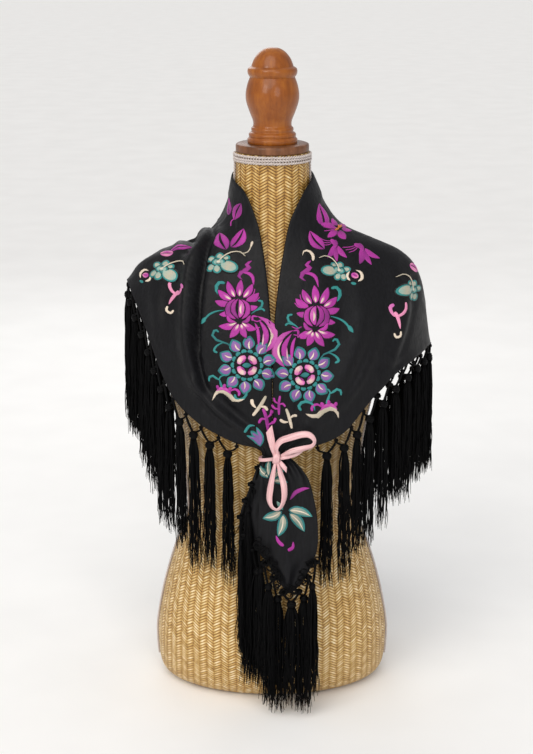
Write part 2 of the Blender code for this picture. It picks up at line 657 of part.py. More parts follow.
def ribbon_wrap(finish):
    """Ribbon round both gathered ends."""
    segments = 28
    points = []
    for height, extra in ((0.3735, 0.0), (0.3735, 0.001), (0.3815, 0.001), (0.3815, 0.0)):
        for k in range(segments):
            turn = tau * k / segments
            points.append((sin(turn) * (0.0180 + extra), -0.1240 - cos(turn) * (0.0088 + extra), height))
    faces = []
    for ring in range(4):
        for k in range(segments):
            n = (k + 1) % segments
            other = (ring + 1) % 4
            faces.append((ring * segments + k, ring * segments + n, other * segments + n, other * segments + k))
    return make("ribbon_wrap", points, faces, finish)


def ribbon_knot(finish):
    """Small flattened knot in front of the wrap."""
    rings, segments = 6, 12
    centre = Vector((0.005, -0.1384, 0.3795))
    points = [centre + Vector((0.0, 0.0, 0.0070))]
    for ring in range(1, rings):
        for k in range(segments):
            tilt, turn = pi * ring / rings, tau * k / segments
            points.append(centre + Vector((0.0062 * sin(tilt) * sin(turn), -0.0045 * sin(tilt) * cos(turn),
                                           0.0070 * cos(tilt))))
    points.append(centre - Vector((0.0, 0.0, 0.0070)))
    faces = []
    for k in range(segments):
        n = (k + 1) % segments
        faces.append((0, 1 + n, 1 + k))
        for ring in range(rings - 2):
            a = 1 + ring * segments
            faces.append((a + k, a + n, a + segments + n, a + segments + k))
        last = 1 + (rings - 2) * segments
        faces.append((last + k, last + n, len(points) - 1))
    return make("ribbon_knot", points, faces, finish)


def build():
    remove_everything()
    straw = material("woven_straw", (0.60, 0.42, 0.17), 0.7)
    braid = material("cotton_braid", (0.66, 0.62, 0.60), 0.8)
    dark_wood = material("stained_wood", (0.16, 0.065, 0.028), 0.4)
    pale_wood = material("varnished_wood", (0.50, 0.20, 0.055), 0.3)
    silk = material("black_silk", (0.012, 0.012, 0.014), 0.45, 0.2)
    yarn = material("black_fringe", (0.009, 0.009, 0.011), 0.6, 0.1)
    satin = material("pink_satin", (0.92, 0.55, 0.58), 0.35, 0.2)

    form_body(straw)
    neck_braid(braid)
    side_braid("form_braid_right", 1.0, braid)
    side_braid("form_braid_left", -1.0, braid)
    base = NECK_TOP + GAP
    lathe("form_disc", [(base, 0.0488), (base + 0.0015, DISC_RADIUS),
                        (base + DISC_THICKNESS - 0.0015, DISC_RADIUS),
                        (base + DISC_THICKNESS, 0.0488)], 36, dark_wood)
    start = base + DISC_THICKNESS
    lathe("form_finial", [(start + up, radius) for up, radius in FINIAL_PROFILE], 26, pale_wood,
          start + FINIAL_TOP)

    hem, marks = shawl_body(silk)
    for name, (first, last, start_length, end_length) in marks.items():
        Fringe(name, hem[first:last + 1], yarn, start_length, end_length)

    side = Vector((-1.0, 0.0, 0.0))
    front = tail("shawl_tail_front", FRONT_TAIL, 0.0028, silk)
    edge = [front[-1][j] for j in (8, 9, 10)] + [front[0][j] for j in (10, 9, 8, 7)]
    Fringe("fringe_tail_front", beyond(resample(edge, 12), 0.0026), yarn, 0.190, 0.190, level=side, stagger=0.0030)
    rear = tail("shawl_tail_rear", REAR_TAIL, 0.0016, silk)
    edge = [rear[0][j] for j in (9, 8, 7, 6)]
    Fringe("fringe_tail_rear", beyond(resample(edge, 6), 0.0005), yarn, 0.175, 0.185, level=side, stagger=0.0026)

    ribbon_wrap(satin)
    ribbon_knot(satin)
    ribbon("ribbon_end_up", [(0.0025, -0.1389, 0.3868), (-0.0010, -0.1416, 0.4000), (-0.0040, -0.1400, 0.4220)],
           [0.0050, 0.0085, 0.0095, 0.0095], satin)
    ribbon("ribbon_loop_right", [(0.0078, -0.1399, 0.3868), (0.0070, -0.1446, 0.4010), (0.0220, -0.1460, 0.4110),
                                 (0.0410, -0.1460, 0.4170), (0.0520, -0.1465, 0.4140), (0.0560, -0.1470, 0.4065),
                                 (0.0510, -0.1475, 0.3990), (0.0410, -0.1480, 0.3960), (0.0250, -0.1480, 0.3925),
                                 (0.0122, -0.1399, 0.3825)],
           [0.0045, 0.0085, 0.0085, 0.0080, 0.0065, 0.0062, 0.0065, 0.0070, 0.0070, 0.0040], satin)
    ribbon("ribbon_loop_down", [(0.0028, -0.1399, 0.3722), (-0.0020, -0.1500, 0.3450), (-0.0042, -0.1535, 0.3270),
                                (-0.0015, -0.1550, 0.3165), (0.0055, -0.1560, 0.3115), (0.0130, -0.1555, 0.3165),
                                (0.0160, -0.1545, 0.3280), (0.0150, -0.1510, 0.3480), (0.0074, -0.1399, 0.3720)],
           [0.0035, 0.0060, 0.0080, 0.0078, 0.0075, 0.0078, 0.0080, 0.0075, 0.0040], satin)
    ribbon("ribbon_end_short", [(0.0104, -0.1394, 0.3748), (0.0135, -0.1460, 0.3710), (0.0180, -0.1480, 0.3660)],
           [0.0030, 0.0050, 0.0030], satin)


build()
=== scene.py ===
from math import cos, pi, radians, sin, tau

import bpy
import numpy as np
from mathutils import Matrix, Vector
from mathutils.bvhtree import BVHTree


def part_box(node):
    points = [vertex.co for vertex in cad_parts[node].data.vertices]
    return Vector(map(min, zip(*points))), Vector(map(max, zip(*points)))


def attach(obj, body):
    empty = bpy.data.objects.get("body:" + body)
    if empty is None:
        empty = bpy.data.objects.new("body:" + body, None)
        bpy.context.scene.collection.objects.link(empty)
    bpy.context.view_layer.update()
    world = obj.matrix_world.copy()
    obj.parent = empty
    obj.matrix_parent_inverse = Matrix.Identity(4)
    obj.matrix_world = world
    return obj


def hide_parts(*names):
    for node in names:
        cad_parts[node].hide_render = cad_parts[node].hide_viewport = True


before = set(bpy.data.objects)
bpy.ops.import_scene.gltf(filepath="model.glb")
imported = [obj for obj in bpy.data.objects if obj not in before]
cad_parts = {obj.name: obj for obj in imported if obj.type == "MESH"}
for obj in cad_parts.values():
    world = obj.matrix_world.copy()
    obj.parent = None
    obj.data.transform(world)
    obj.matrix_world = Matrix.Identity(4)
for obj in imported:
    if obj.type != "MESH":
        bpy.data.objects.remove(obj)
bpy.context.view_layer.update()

# Looks of a fringed, hand embroidered silk shawl that is tied on a straw covered tabletop dress form.
# Lengths are in metres, or in millimetres where a name or comment says so.
# X runs to the viewer's right, -Y to the front and Z up.
MM = 0.001
RANDOM = np.random.default_rng(7)

NECK_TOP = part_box("form_body")[1].z
DISC_LOW, DISC_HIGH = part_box("form_disc")
FINIAL_LOW, FINIAL_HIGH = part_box("form_finial")
CLOTH_CLEARANCE = 0.0037    # outer face of the cloth off the form
CLOTH_THICKNESS = 0.0020    # of the plain solid whose outer face the cloth follows
SILK_THICKNESS = 0.0009
GIMP_TWIST = 0.0082         # along a row for one full turn of its two plies
CREASES = 330
BAND_WIDTH = 0.033          # rolled edge along the neckline
BAND_RISE = 0.0016
PITCH = 0.028               # from one tassel to the next
POST_LENGTH = 0.0045
KNOT_LENGTH = 0.0080
NET_DROP = 0.0050           # from the post to the knot
FLOOR_CLEARANCE = 0.004

# height, half width, depth to the front, depth to the back
FORM_SECTIONS = np.array([
    (0.000, 0.139, 0.084, 0.080),
    (0.004, 0.152, 0.094, 0.089),
    (0.011, 0.161, 0.103, 0.098),
    (0.024, 0.166, 0.114, 0.107),
    (0.046, 0.168, 0.123, 0.115),
    (0.075, 0.168, 0.128, 0.120),
    (0.116, 0.1615, 0.124, 0.116),
    (0.153, 0.153, 0.118, 0.108),
    (0.200, 0.139, 0.108, 0.097),
    (0.249, 0.1215, 0.097, 0.085),
    (0.285, 0.1205, 0.094, 0.081),
    (0.330, 0.124, 0.097, 0.081),
    (0.387, 0.132, 0.104, 0.083),
    (0.425, 0.140, 0.111, 0.085),
    (0.465, 0.147, 0.115, 0.087),
    (0.505, 0.153, 0.113, 0.089),
    (0.545, 0.164, 0.104, 0.088),
    (0.575, 0.173, 0.093, 0.084),
    (0.596, 0.169, 0.083, 0.079),
    (0.612, 0.153, 0.075, 0.074),
    (0.627, 0.128, 0.068, 0.069),
    (0.643, 0.100, 0.062, 0.064),
    (0.662, 0.076, 0.056, 0.059),
    (0.688, 0.060, 0.0515, 0.054),
    (0.720, 0.0525, 0.0490, 0.050),
    (0.750, 0.0500, 0.0475, 0.048),
    (0.773, 0.0500, 0.0475, 0.0475),
])

# Each row is one line across the cloth from its neckline to its fringed edge, by way of two points
# between: neckline x, y, z; upper x, y, z; lower x, y, z; fringed edge x, y, z.
RIGHT_LINES = [
    ((0.0006, -0.1300, 0.3776), (0.0080, -0.1300, 0.3784), (0.0160, -0.1285, 0.3796),
     (0.0230, -0.1255, 0.3812)),
    ((0.0006, -0.1300, 0.3840), (0.0090, -0.1305, 0.3840), (0.0180, -0.1290, 0.3846),
     (0.0262, -0.1255, 0.3852)),
    ((0.0006, -0.1290, 0.3970), (0.0110, -0.1310, 0.3945), (0.0220, -0.1295, 0.3920),
     (0.0340, -0.1255, 0.3890)),
    ((0.0006, -0.1265, 0.4250), (0.0180, -0.1300, 0.4130), (0.0360, -0.1300, 0.4010),
     (0.0520, -0.1270, 0.3905)),
    ((0.0006, -0.1235, 0.4650), (0.0350, -0.1280, 0.4450), (0.0660, -0.1270, 0.4250),
     (0.0950, -0.1200, 0.4080)),
    ((0.0006, -0.1215, 0.5150), (0.0500, -0.1250, 0.4900), (0.0920, -0.1180, 0.4600),
     (0.1300, -0.1020, 0.4450)),
    ((0.0024, -0.1125, 0.5600), (0.0600, -0.1150, 0.5400), (0.1180, -0.1000, 0.5050),
     (0.1630, -0.0800, 0.4760)),
    ((0.0080, -0.0920, 0.6100), (0.0700, -0.0920, 0.6000), (0.1450, -0.0770, 0.5450),
     (0.1930, -0.0500, 0.4910)),
    ((0.0150, -0.0710, 0.6500), (0.0780, -0.0620, 0.6400), (0.1750, -0.0450, 0.5850),
     (0.2140, -0.0100, 0.4955)),
    ((0.0235, -0.0600, 0.6880), (0.0850, -0.0400, 0.6620), (0.1930, -0.0120, 0.6120),
     (0.2270, 0.0300, 0.4955)),
    ((0.0410, -0.0430, 0.7220), (0.0900, -0.0150, 0.6740), (0.1960, 0.0200, 0.6160),
     (0.2220, 0.0650, 0.4800)),
    ((0.0540, -0.0050, 0.7410), (0.0900, 0.0150, 0.6770), (0.1830, 0.0500, 0.6000), (0.1970, 0.1000, 0.4520)),
    ((0.0450, 0.0300, 0.7470), (0.0780, 0.0520, 0.6750), (0.1400, 0.0900, 0.5600), (0.1500, 0.1280, 0.4050)),
    ((0.0240, 0.0475, 0.7490), (0.0450, 0.0720, 0.6650), (0.0800, 0.1050, 0.5300), (0.0850, 0.1400, 0.3350)),
]
BACK_LINE = ((0.0000, 0.0520, 0.7500), (0.0000, 0.0780, 0.6600), (0.0000, 0.1080, 0.5000),
             (0.0000, 0.1420, 0.2500))
LEFT_LINES = [
    ((-0.0240, 0.0475, 0.7490), (-0.0450, 0.0720, 0.6650), (-0.0780, 0.1050, 0.5400),
     (-0.0800, 0.1400, 0.3550)),
    ((-0.0450, 0.0300, 0.7470), (-0.0740, 0.0500, 0.6700), (-0.1320, 0.0880, 0.5750),
     (-0.1420, 0.1250, 0.4480)),
    ((-0.0530, -0.0070, 0.7390), (-0.0750, 0.0150, 0.6720), (-0.1620, 0.0480, 0.6130),
     (-0.1870, 0.0900, 0.5320)),
    ((-0.0350, -0.0460, 0.7210), (-0.0740, -0.0140, 0.6700), (-0.1730, 0.0150, 0.6230),
     (-0.2050, 0.0400, 0.5850)),
    ((-0.0200, -0.0600, 0.6850), (-0.0725, -0.0400, 0.6600), (-0.1600, -0.0150, 0.6200),
     (-0.1960, -0.0100, 0.5800)),
    ((-0.0125, -0.0710, 0.6500), (-0.0750, -0.0640, 0.6380), (-0.1420, -0.0500, 0.5960),
     (-0.1740, -0.0500, 0.5380)),
    ((-0.0065, -0.0920, 0.6100), (-0.0680, -0.0930, 0.5960), (-0.1230, -0.0850, 0.5450),
     (-0.1540, -0.0800, 0.4900)),
    ((-0.0022, -0.1125, 0.5600), (-0.0580, -0.1160, 0.5330), (-0.1030, -0.1080, 0.4870),
     (-0.1330, -0.0980, 0.4500)),
    ((-0.0006, -0.1215, 0.5150), (-0.0430, -0.1260, 0.4850), (-0.0780, -0.1220, 0.4480),
     (-0.1030, -0.1130, 0.4230)),
    ((-0.0006, -0.1235, 0.4650), (-0.0300, -0.1290, 0.4470), (-0.0560, -0.1280, 0.4260),
     (-0.0760, -0.1210, 0.4080)),
    ((-0.0006, -0.1265, 0.4250), (-0.0170, -0.1310, 0.4130), (-0.0330, -0.1310, 0.4030),
     (-0.0460, -0.1270, 0.3950)),
    ((-0.0006, -0.1290, 0.3970), (-0.0090, -0.1310, 0.3945), (-0.0165, -0.1285, 0.3920),
     (-0.0250, -0.1240, 0.3895)),
    ((-0.0006, -0.1300, 0.3840), (-0.0060, -0.1295, 0.3838), (-0.0110, -0.1260, 0.3837),
     (-0.0152, -0.1205, 0.3835)),
    ((-0.0006, -0.1300, 0.3776), (-0.0055, -0.1290, 0.3776), (-0.0100, -0.1255, 0.3776),
     (-0.0140, -0.1200, 0.3776)),
]
LINES = np.array(RIGHT_LINES + [BACK_LINE] + LEFT_LINES)

# a stretch of the fringe: its name, its first and last line above, its tassels' length at both ends
STRETCHES = [("right_front", 3.25, 9.0, 0.188, 0.158), ("right_back", 9.0, 14.0, 0.160, 0.190),
             ("left_back", 14.0, 18.0, 0.190, 0.180), ("left_front", 18.0, 24.9, 0.180, 0.185)]

# Folds of the cloth as seen from the front (or through the form, for the back): places in x and z along
# the fold, then its half width and its height, and its half width towards the right where that differs.
FRONT_FOLDS = [
    (((-0.086, 0.668), (-0.098, 0.646), (-0.109, 0.622), (-0.114, 0.575), (-0.115, 0.535), (-0.110, 0.500),
      (-0.100, 0.468)), 0.0110, 0.0130, 0.0072),
    (((-0.082, 0.664), (-0.091, 0.640), (-0.0965, 0.605), (-0.099, 0.575), (-0.102, 0.535), (-0.099, 0.500),
      (-0.090, 0.470)), 0.0046, -0.0130),
    (((-0.076, 0.652), (-0.0865, 0.615), (-0.0900, 0.575), (-0.0930, 0.535), (-0.0895, 0.495)),
     0.0040, 0.0078, 0.0190),
    (((-0.098, 0.668), (-0.108, 0.655), (-0.118, 0.640)), 0.0056, -0.0110),
    (((-0.092, 0.682), (-0.110, 0.670), (-0.126, 0.652), (-0.134, 0.630)), 0.0055, 0.0040),
    (((-0.104, 0.478), (-0.088, 0.456), (-0.068, 0.438), (-0.045, 0.422), (-0.026, 0.408)), 0.0058, 0.0072),
    (((-0.078, 0.466), (-0.056, 0.444), (-0.026, 0.420)), 0.0075, -0.0060),
    (((-0.104, 0.466), (-0.088, 0.440), (-0.062, 0.416)), 0.0070, -0.0030),
    (((-0.150, 0.628), (-0.160, 0.570), (-0.128, 0.490)), 0.0120, 0.0030),
    (((-0.142, 0.590), (-0.147, 0.550), (-0.138, 0.500)), 0.0060, -0.0014),
    (((0.108, 0.640), (0.122, 0.560), (0.092, 0.480), (0.050, 0.425)), 0.0150, 0.0050),
    (((0.082, 0.640), (0.092, 0.550), (0.060, 0.470), (0.030, 0.425)), 0.0120, -0.0022),
    (((0.165, 0.620), (0.182, 0.550), (0.150, 0.470)), 0.0130, 0.0055),
    (((0.196, 0.600), (0.190, 0.545), (0.170, 0.490)), 0.0060, -0.0040),
    (((0.148, 0.550), (0.118, 0.480), (0.060, 0.425), (0.026, 0.400)), 0.0090, 0.0035),
    (((0.128, 0.520), (0.100, 0.465), (0.040, 0.412)), 0.0060, -0.0020),
    (((0.132, 0.498), (0.142, 0.482), (0.146, 0.462)), 0.0034, 0.0018),
    (((0.146, 0.502), (0.156, 0.488), (0.160, 0.472)), 0.0032, -0.0018),
    (((0.155, 0.508), (0.168, 0.496), (0.176, 0.500)), 0.0034, 0.0016),
    (((0.030, 0.700), (0.044, 0.668), (0.046, 0.620), (0.040, 0.560)), 0.0050, 0.0010),
    (((-0.026, 0.700), (-0.040, 0.668), (-0.042, 0.620), (-0.034, 0.560)), 0.0050, 0.0010),
]
BACK_FOLDS = [
    (((-0.050, 0.660), (-0.084, 0.560), (-0.105, 0.430)), 0.0140, 0.0070),
    (((0.055, 0.660), (0.086, 0.560), (0.110, 0.420)), 0.0140, 0.0075),
    (((-0.020, 0.650), (-0.034, 0.520), (-0.045, 0.330)), 0.0130, 0.0060),
    (((0.025, 0.650), (0.034, 0.500), (0.040, 0.310)), 0.0130, 0.0055),
    (((-0.070, 0.640), (-0.110, 0.570), (-0.130, 0.500)), 0.0060, 0.0020),
    (((-0.030, 0.650), (-0.058, 0.560), (-0.070, 0.440)), 0.0055, -0.0020),
    (((0.070, 0.640), (0.112, 0.560), (0.140, 0.480)), 0.0060, 0.0022),
    (((0.035, 0.640), (0.060, 0.540), (0.075, 0.420)), 0.0055, -0.0022),
    (((0.000, 0.640), (0.003, 0.500), (-0.002, 0.330)), 0.0070, 0.0018),
]

# height, left edge, right edge, middle y
FRONT_TAIL = np.array([
    (0.3776, -0.0140, 0.0215, -0.1285),
    (0.3728, -0.0142, 0.0290, -0.1290),
    (0.3650, -0.0165, 0.0385, -0.1360),
    (0.3500, -0.0180, 0.0490, -0.1420),
    (0.3250, -0.0185, 0.0560, -0.1470),
    (0.3000, -0.0185, 0.0605, -0.1505),
    (0.2780, -0.0190, 0.0620, -0.1530),
    (0.2580, -0.0170, 0.0615, -0.1550),
    (0.2400, -0.0110, 0.0570, -0.1565),
    (0.2160, 0.0030, 0.0460, -0.1580),
    (0.1940, 0.0180, 0.0310, -0.1590),
])
REAR_TAIL = np.array([
    (0.3772, -0.0110, 0.0110, -0.1220),
    (0.3728, -0.0125, 0.0115, -0.1222),
    (0.3650, -0.0190, 0.0150, -0.1265),
    (0.3450, -0.0270, 0.0220, -0.1300),
    (0.3200, -0.0360, 0.0260, -0.1325),
    (0.3000, -0.0430, 0.0260, -0.1340),
    (0.2850, -0.0430, 0.0240, -0.1350),
    (0.2650, -0.0350, 0.0180, -0.1360),
    (0.2450, -0.0225, 0.0080, -0.1365),
    (0.2320, -0.0120, -0.0010, -0.1370),
])

# embroidery floss
FLOSS = {
    "magenta": "#ad2f98",
    "plum": "#84237a",
    "rose": "#c85fae",
    "pink": "#ea93b8",
    "cream": "#e3d2bd",
    "beige": "#b9b09b",
    "teal": "#2b8583",
    "deep_teal": "#1d6468",
    "pale_teal": "#8fb0a5",
    "sage": "#7d9085",
    "lavender": "#7f68a2",
    "orchid": "#90589d",
    "orange": "#cc7a30",
    "black": "#0a0a0b",
}


def linear(code):
    """Linear colour of an sRGB hex value."""
    parts = [int(code[k:k + 2], 16) / 255 for k in (1, 3, 5)]
    return tuple(c / 12.92 if c <= 0.04045 else ((c + 0.055) / 1.055) ** 2.4 for c in parts) + (1.0,)


def deselect():
    bpy.ops.object.select_all(action="DESELECT")


# Materials

def add(tree, kind, inputs=None, **settings):
    """Adds a shader node with its settings, and sets or links its inputs."""
    node = tree.nodes.new("ShaderNode" + kind)
    for name, value in settings.items():
        setattr(node, name, value)
    for name, value in (inputs or {}).items():
        if isinstance(value, bpy.types.NodeSocket):
            tree.links.new(value, node.inputs[name])
        else:
            node.inputs[name].default_value = value
    return node


def finish(name, **constants):
    """A new material's node tree and its shader, with the values that are the same all over."""
    made = bpy.data.materials.new(name)
    made.use_nodes = True
    shader = made.node_tree.nodes["Principled BSDF"]
    for socket, value in constants.items():
        shader.inputs[socket.replace("_", " ")].default_value = value
    return made, made.node_tree, shader


def ramp(tree, source, stops, smooth="LINEAR"):
    """Colours between stops of a place and a hex value."""
    node = add(tree, "ValToRGB", {"Fac": source})
    node.color_ramp.interpolation = smooth
    while len(node.color_ramp.elements) < len(stops):
        node.color_ramp.elements.new(0.5)
    for element, (place, code) in zip(node.color_ramp.elements, stops):
        element.position = place
        element.color = linear(code)
    return node.outputs["Color"]


def sums(tree, kind, a, b=0.0, c=0.0):
    """Result of one sum on two or three values or sockets."""
    node = tree.nodes.new("ShaderNodeMath")
    node.operation = kind
    for k, value in enumerate((a, b, c)):
        if isinstance(value, bpy.types.NodeSocket):
            tree.links.new(value, node.inputs[k])
        else:
            node.inputs[k].default_value = value
    return node.outputs[0]


def woven_straw():
    """Herringbone straw: slanting splints in upright columns, paler where they crown as a painted highlight,
    and brown between them, partly dark gaps and partly painted shade.

    It is darker from the bust up: painted shade, as cast by the shawl's collar over the chest.
    """
    made, tree, shader = finish("herringbone_straw", Roughness=0.5, Specular_IOR_Level=0.45, Coat_Weight=0.12,
                                Coat_Roughness=0.35)
    splint = 4.1                # mm up the column from one splint to the next
    uv = add(tree, "UVMap", uv_map="weave")
    parts = add(tree, "SeparateXYZ", {"Vector": uv.outputs["UV"]})
    column = parts.outputs["X"]
    height = parts.outputs["Y"]
    wander = add(tree, "TexNoise", {"Vector": uv.outputs["UV"], "Scale": 0.5, "Detail": 3.0}).outputs["Fac"]
    column = sums(tree, "MULTIPLY_ADD", wander, 0.12, column)
    zigzag = sums(tree, "PINGPONG", column, 1.0)
    rise = sums(tree, "MULTIPLY_ADD", zigzag, 1.55, sums(tree, "DIVIDE", height, splint))
    rise = sums(tree, "MULTIPLY_ADD", wander, 0.5, rise)
    lane = sums(tree, "FRACT", rise)
    crown = sums(tree, "SINE", sums(tree, "MULTIPLY", lane, pi))
    splint_name = add(tree, "CombineXYZ", {"X": sums(tree, "FLOOR", column), "Y": sums(tree, "FLOOR", rise)})
    each = add(tree, "TexWhiteNoise", {"Vector": splint_name.outputs["Vector"]}, noise_dimensions="2D")
    off_middle = sums(tree, "MULTIPLY_ADD", sums(tree, "FRACT", column), 2.0, -1.0)
    turn = sums(tree, "SUBTRACT", 1.0, sums(tree, "ABSOLUTE", off_middle))
    tucked = sums(tree, "POWER", sums(tree, "MAXIMUM", turn, 0.02), 0.22)
    relief_and_painted_light = sums(tree, "MULTIPLY", sums(tree, "POWER", crown, 0.75), tucked)
    fibre = add(tree, "TexNoise", {"Vector": uv.outputs["UV"], "Scale": 1.9, "Detail": 5.0,
                                   "Roughness": 0.75}).outputs["Fac"]
    # painted light: each splint is paler on its raised crown as a painted highlight, and darker in its gaps
    # and tucks as painted shade
    tone = sums(tree, "MULTIPLY_ADD", each.outputs["Value"], 0.24, sums(tree, "MULTIPLY", relief_and_painted_light, 0.72))
    tone = sums(tree, "MULTIPLY_ADD", fibre, 0.75, sums(tree, "SUBTRACT", tone, 0.36))
    # painted shade: the straw darkens from 0.46 m to 0.58 m up, as under the shawl's collar
    level = add(tree, "SeparateXYZ", {"Vector": add(tree, "TexCoord").outputs["Object"]}).outputs["Z"]
    painted_chest_shade = add(tree, "MapRange", {"Value": level, "From Min": 0.46, "From Max": 0.58, "To Max": 0.115})
    tone = sums(tree, "SUBTRACT", tone, painted_chest_shade.outputs["Result"])
    colour = ramp(tree, tone, [(0.10, "#5a3a12"), (0.30, "#8f6524"), (0.50, "#b98c42"), (0.72, "#d6b573"),
                               (0.94, "#f6e8c9")])
    bump = add(tree, "Bump", {"Height": relief_and_painted_light, "Distance": 0.0010, "Strength": 0.8})
    tree.links.new(colour, shader.inputs["Base Color"])
    tree.links.new(bump.outputs["Normal"], shader.inputs["Normal"])
    return made


def cotton_braid():
    """Grey white cotton gimp: matt, with random tone, and a little darker in the hollows of its fine bump as
    painted shade.
    """
    made, tree, shader = finish("cotton_gimp", Roughness=0.85, Sheen_Weight=0.25, Sheen_Roughness=0.5)
    place = add(tree, "TexCoord").outputs["Object"]
    cotton = add(tree, "TexNoise", {"Vector": place, "Scale": 900.0, "Detail": 3.0}).outputs["Fac"]
    # painted shade: the noise that raises the bump also darkens the colour where it is low
    tree.links.new(ramp(tree, cotton, [(0.25, "#a1948e"), (0.55, "#cfc4be"), (0.8, "#e8e1dc")]),
                   shader.inputs["Base Color"])
    bump = add(tree, "Bump", {"Height": cotton, "Distance": 0.0003, "Strength": 0.6})
    tree.links.new(bump.outputs["Normal"], shader.inputs["Normal"])
    return made


def turned_wood(name, dark, middle, light, gloss):
    """Turned and varnished wood: faint upright grain and small pores under a clear coat."""
    made, tree, shader = finish(name, Specular_IOR_Level=0.25, Coat_Weight=gloss, Coat_Roughness=0.12)
    place = add(tree, "TexCoord").outputs["Object"]
    grain_way = add(tree, "Mapping", {"Vector": place, "Scale": (1.0, 1.0, 0.16)})
    grain = add(tree, "TexNoise", {"Vector": grain_way.outputs["Vector"], "Scale": 150.0, "Detail": 5.0,
                                   "Roughness": 0.6}).outputs["Fac"]
    cloud = add(tree, "TexNoise", {"Vector": place, "Scale": 26.0, "Detail": 3.0}).outputs["Fac"]
    tone = sums(tree, "MULTIPLY_ADD", grain, 0.45, sums(tree, "MULTIPLY", cloud, 0.55))
    pores = add(tree, "TexVoronoi", {"Vector": grain_way.outputs["Vector"],
                                     "Scale": 420.0}).outputs["Distance"]
    pore = add(tree, "MapRange", {"Value": pores, "From Min": 0.08, "From Max": 0.22})
    tone = sums(tree, "MULTIPLY_ADD", pore.outputs["Result"], 0.10, sums(tree, "SUBTRACT", tone, 0.10))
    tree.links.new(ramp(tree, tone, [(0.34, dark), (0.5, middle), (0.66, light)]),
                   shader.inputs["Base Color"])
    rough = add(tree, "MapRange", {"Value": grain, "To Min": 0.34, "To Max": 0.50})
    tree.links.new(rough.outputs["Result"], shader.inputs["Roughness"])
    bump = add(tree, "Bump", {"Height": tone, "Distance": 0.00012, "Strength": 0.3})
    tree.links.new(bump.outputs["Normal"], shader.inputs["Normal"])
    return made


def black_silk():
    """Black silk crepe: soft and nearly matt, a pebbled weave drawn coarser than its real 0.3 mm."""
    made, tree, shader = finish("silk_crepe", Specular_IOR_Level=0.16, Sheen_Weight=0.02,
                                Sheen_Roughness=0.35)
    shader.inputs["Sheen Tint"].default_value = linear("#a8abb8")
    place = add(tree, "TexCoord").outputs["Object"]
    pebble = add(tree, "TexNoise", {"Vector": place, "Scale": 750.0, "Detail": 2.0}).outputs["Fac"]
    slub_way = add(tree, "Mapping", {"Vector": place, "Scale": (1.0, 1.0, 0.12)})
    slub = add(tree, "TexNoise", {"Vector": slub_way.outputs["Vector"], "Scale": 420.0,
                                  "Detail": 3.0}).outputs["Fac"]
    wrinkle = add(tree, "TexNoise", {"Vector": place, "Scale": 60.0, "Detail": 4.0, "Roughness": 0.6,
                                     "Distortion": 0.8}).outputs["Fac"]
    tree.links.new(ramp(tree, slub, [(0.3, "#0d0d0f"), (0.7, "#151518")]), shader.inputs["Base Color"])
    rough = add(tree, "MapRange", {"Value": wrinkle, "From Min": 0.3, "From Max": 0.7, "To Min": 0.40,
                                   "To Max": 0.55})
    tree.links.new(rough.outputs["Result"], shader.inputs["Roughness"])
    height = sums(tree, "MULTIPLY_ADD", pebble, 0.10, sums(tree, "MULTIPLY_ADD", slub, 0.08, wrinkle))
    bump = add(tree, "Bump", {"Height": height, "Distance": 0.0018, "Strength": 0.5})
    tree.links.new(bump.outputs["Normal"], shader.inputs["Normal"])
    return made


def black_yarn():
    """Black silk yarn: soft and deep black, with little light along each strand."""
    made, tree, shader = finish("silk_yarn", Roughness=0.6, Specular_IOR_Level=0.10)
    place = add(tree, "TexCoord").outputs["Object"]
    ply = add(tree, "TexNoise", {"Vector": place, "Scale": 1100.0, "Detail": 2.0}).outputs["Fac"]
    tree.links.new(ramp(tree, ply, [(0.3, "#020203"), (0.75, "#060607")]), shader.inputs["Base Color"])
    bump = add(tree, "Bump", {"Height": ply, "Distance": 0.0002, "Strength": 0.5})
    tree.links.new(bump.outputs["Normal"], shader.inputs["Normal"])
    return made


def embroidery_floss():
    """Silk floss in satin stitch: each stroke's own colour, with bright and dark stitches across it, partly
    random tone and partly a painted highlight on each stitch's crown with painted shade between stitches.
    """
    made, tree, shader = finish("satin_stitch", Roughness=0.48, Sheen_Weight=0.08, Sheen_Roughness=0.35,
                                Specular_IOR_Level=0.35)
    stitch = 1.2                # mm, drawn coarser than the real 0.4
    colour = add(tree, "Attribute", attribute_name="floss").outputs["Color"]
    uv = add(tree, "UVMap", uv_map="stitch").outputs["UV"]
    parts = add(tree, "SeparateXYZ", {"Vector": uv})
    slant = sums(tree, "MULTIPLY_ADD", parts.outputs["Y"], 0.45, parts.outputs["X"])
    lane = sums(tree, "FRACT", sums(tree, "DIVIDE", slant, stitch))
    crown = sums(tree, "SINE", sums(tree, "MULTIPLY", lane, pi))
    ragged = add(tree, "TexNoise", {"Vector": uv, "Scale": 1.4, "Detail": 3.0}).outputs["Fac"]
    # painted light: each stitch is brighter on its crown and darker at its sides; the ragged noise is random
    # tone
    shade = sums(tree, "MULTIPLY_ADD", crown, 0.26, sums(tree, "MULTIPLY_ADD", ragged, 0.7, 0.42))
    mixed = add(tree, "Mix", {"Factor": 1.0}, data_type="RGBA", blend_type="MULTIPLY")
    grey = add(tree, "CombineColor", {"Red": shade, "Green": shade, "Blue": shade})
    tree.links.new(colour, mixed.inputs[6])
    tree.links.new(grey.outputs["Color"], mixed.inputs[7])
    tree.links.new(mixed.outputs[2], shader.inputs["Base Color"])
    bump = add(tree, "Bump", {"Height": crown, "Distance": 0.0003, "Strength": 0.6})
    tree.links.new(bump.outputs["Normal"], shader.inputs["Normal"])
    return made


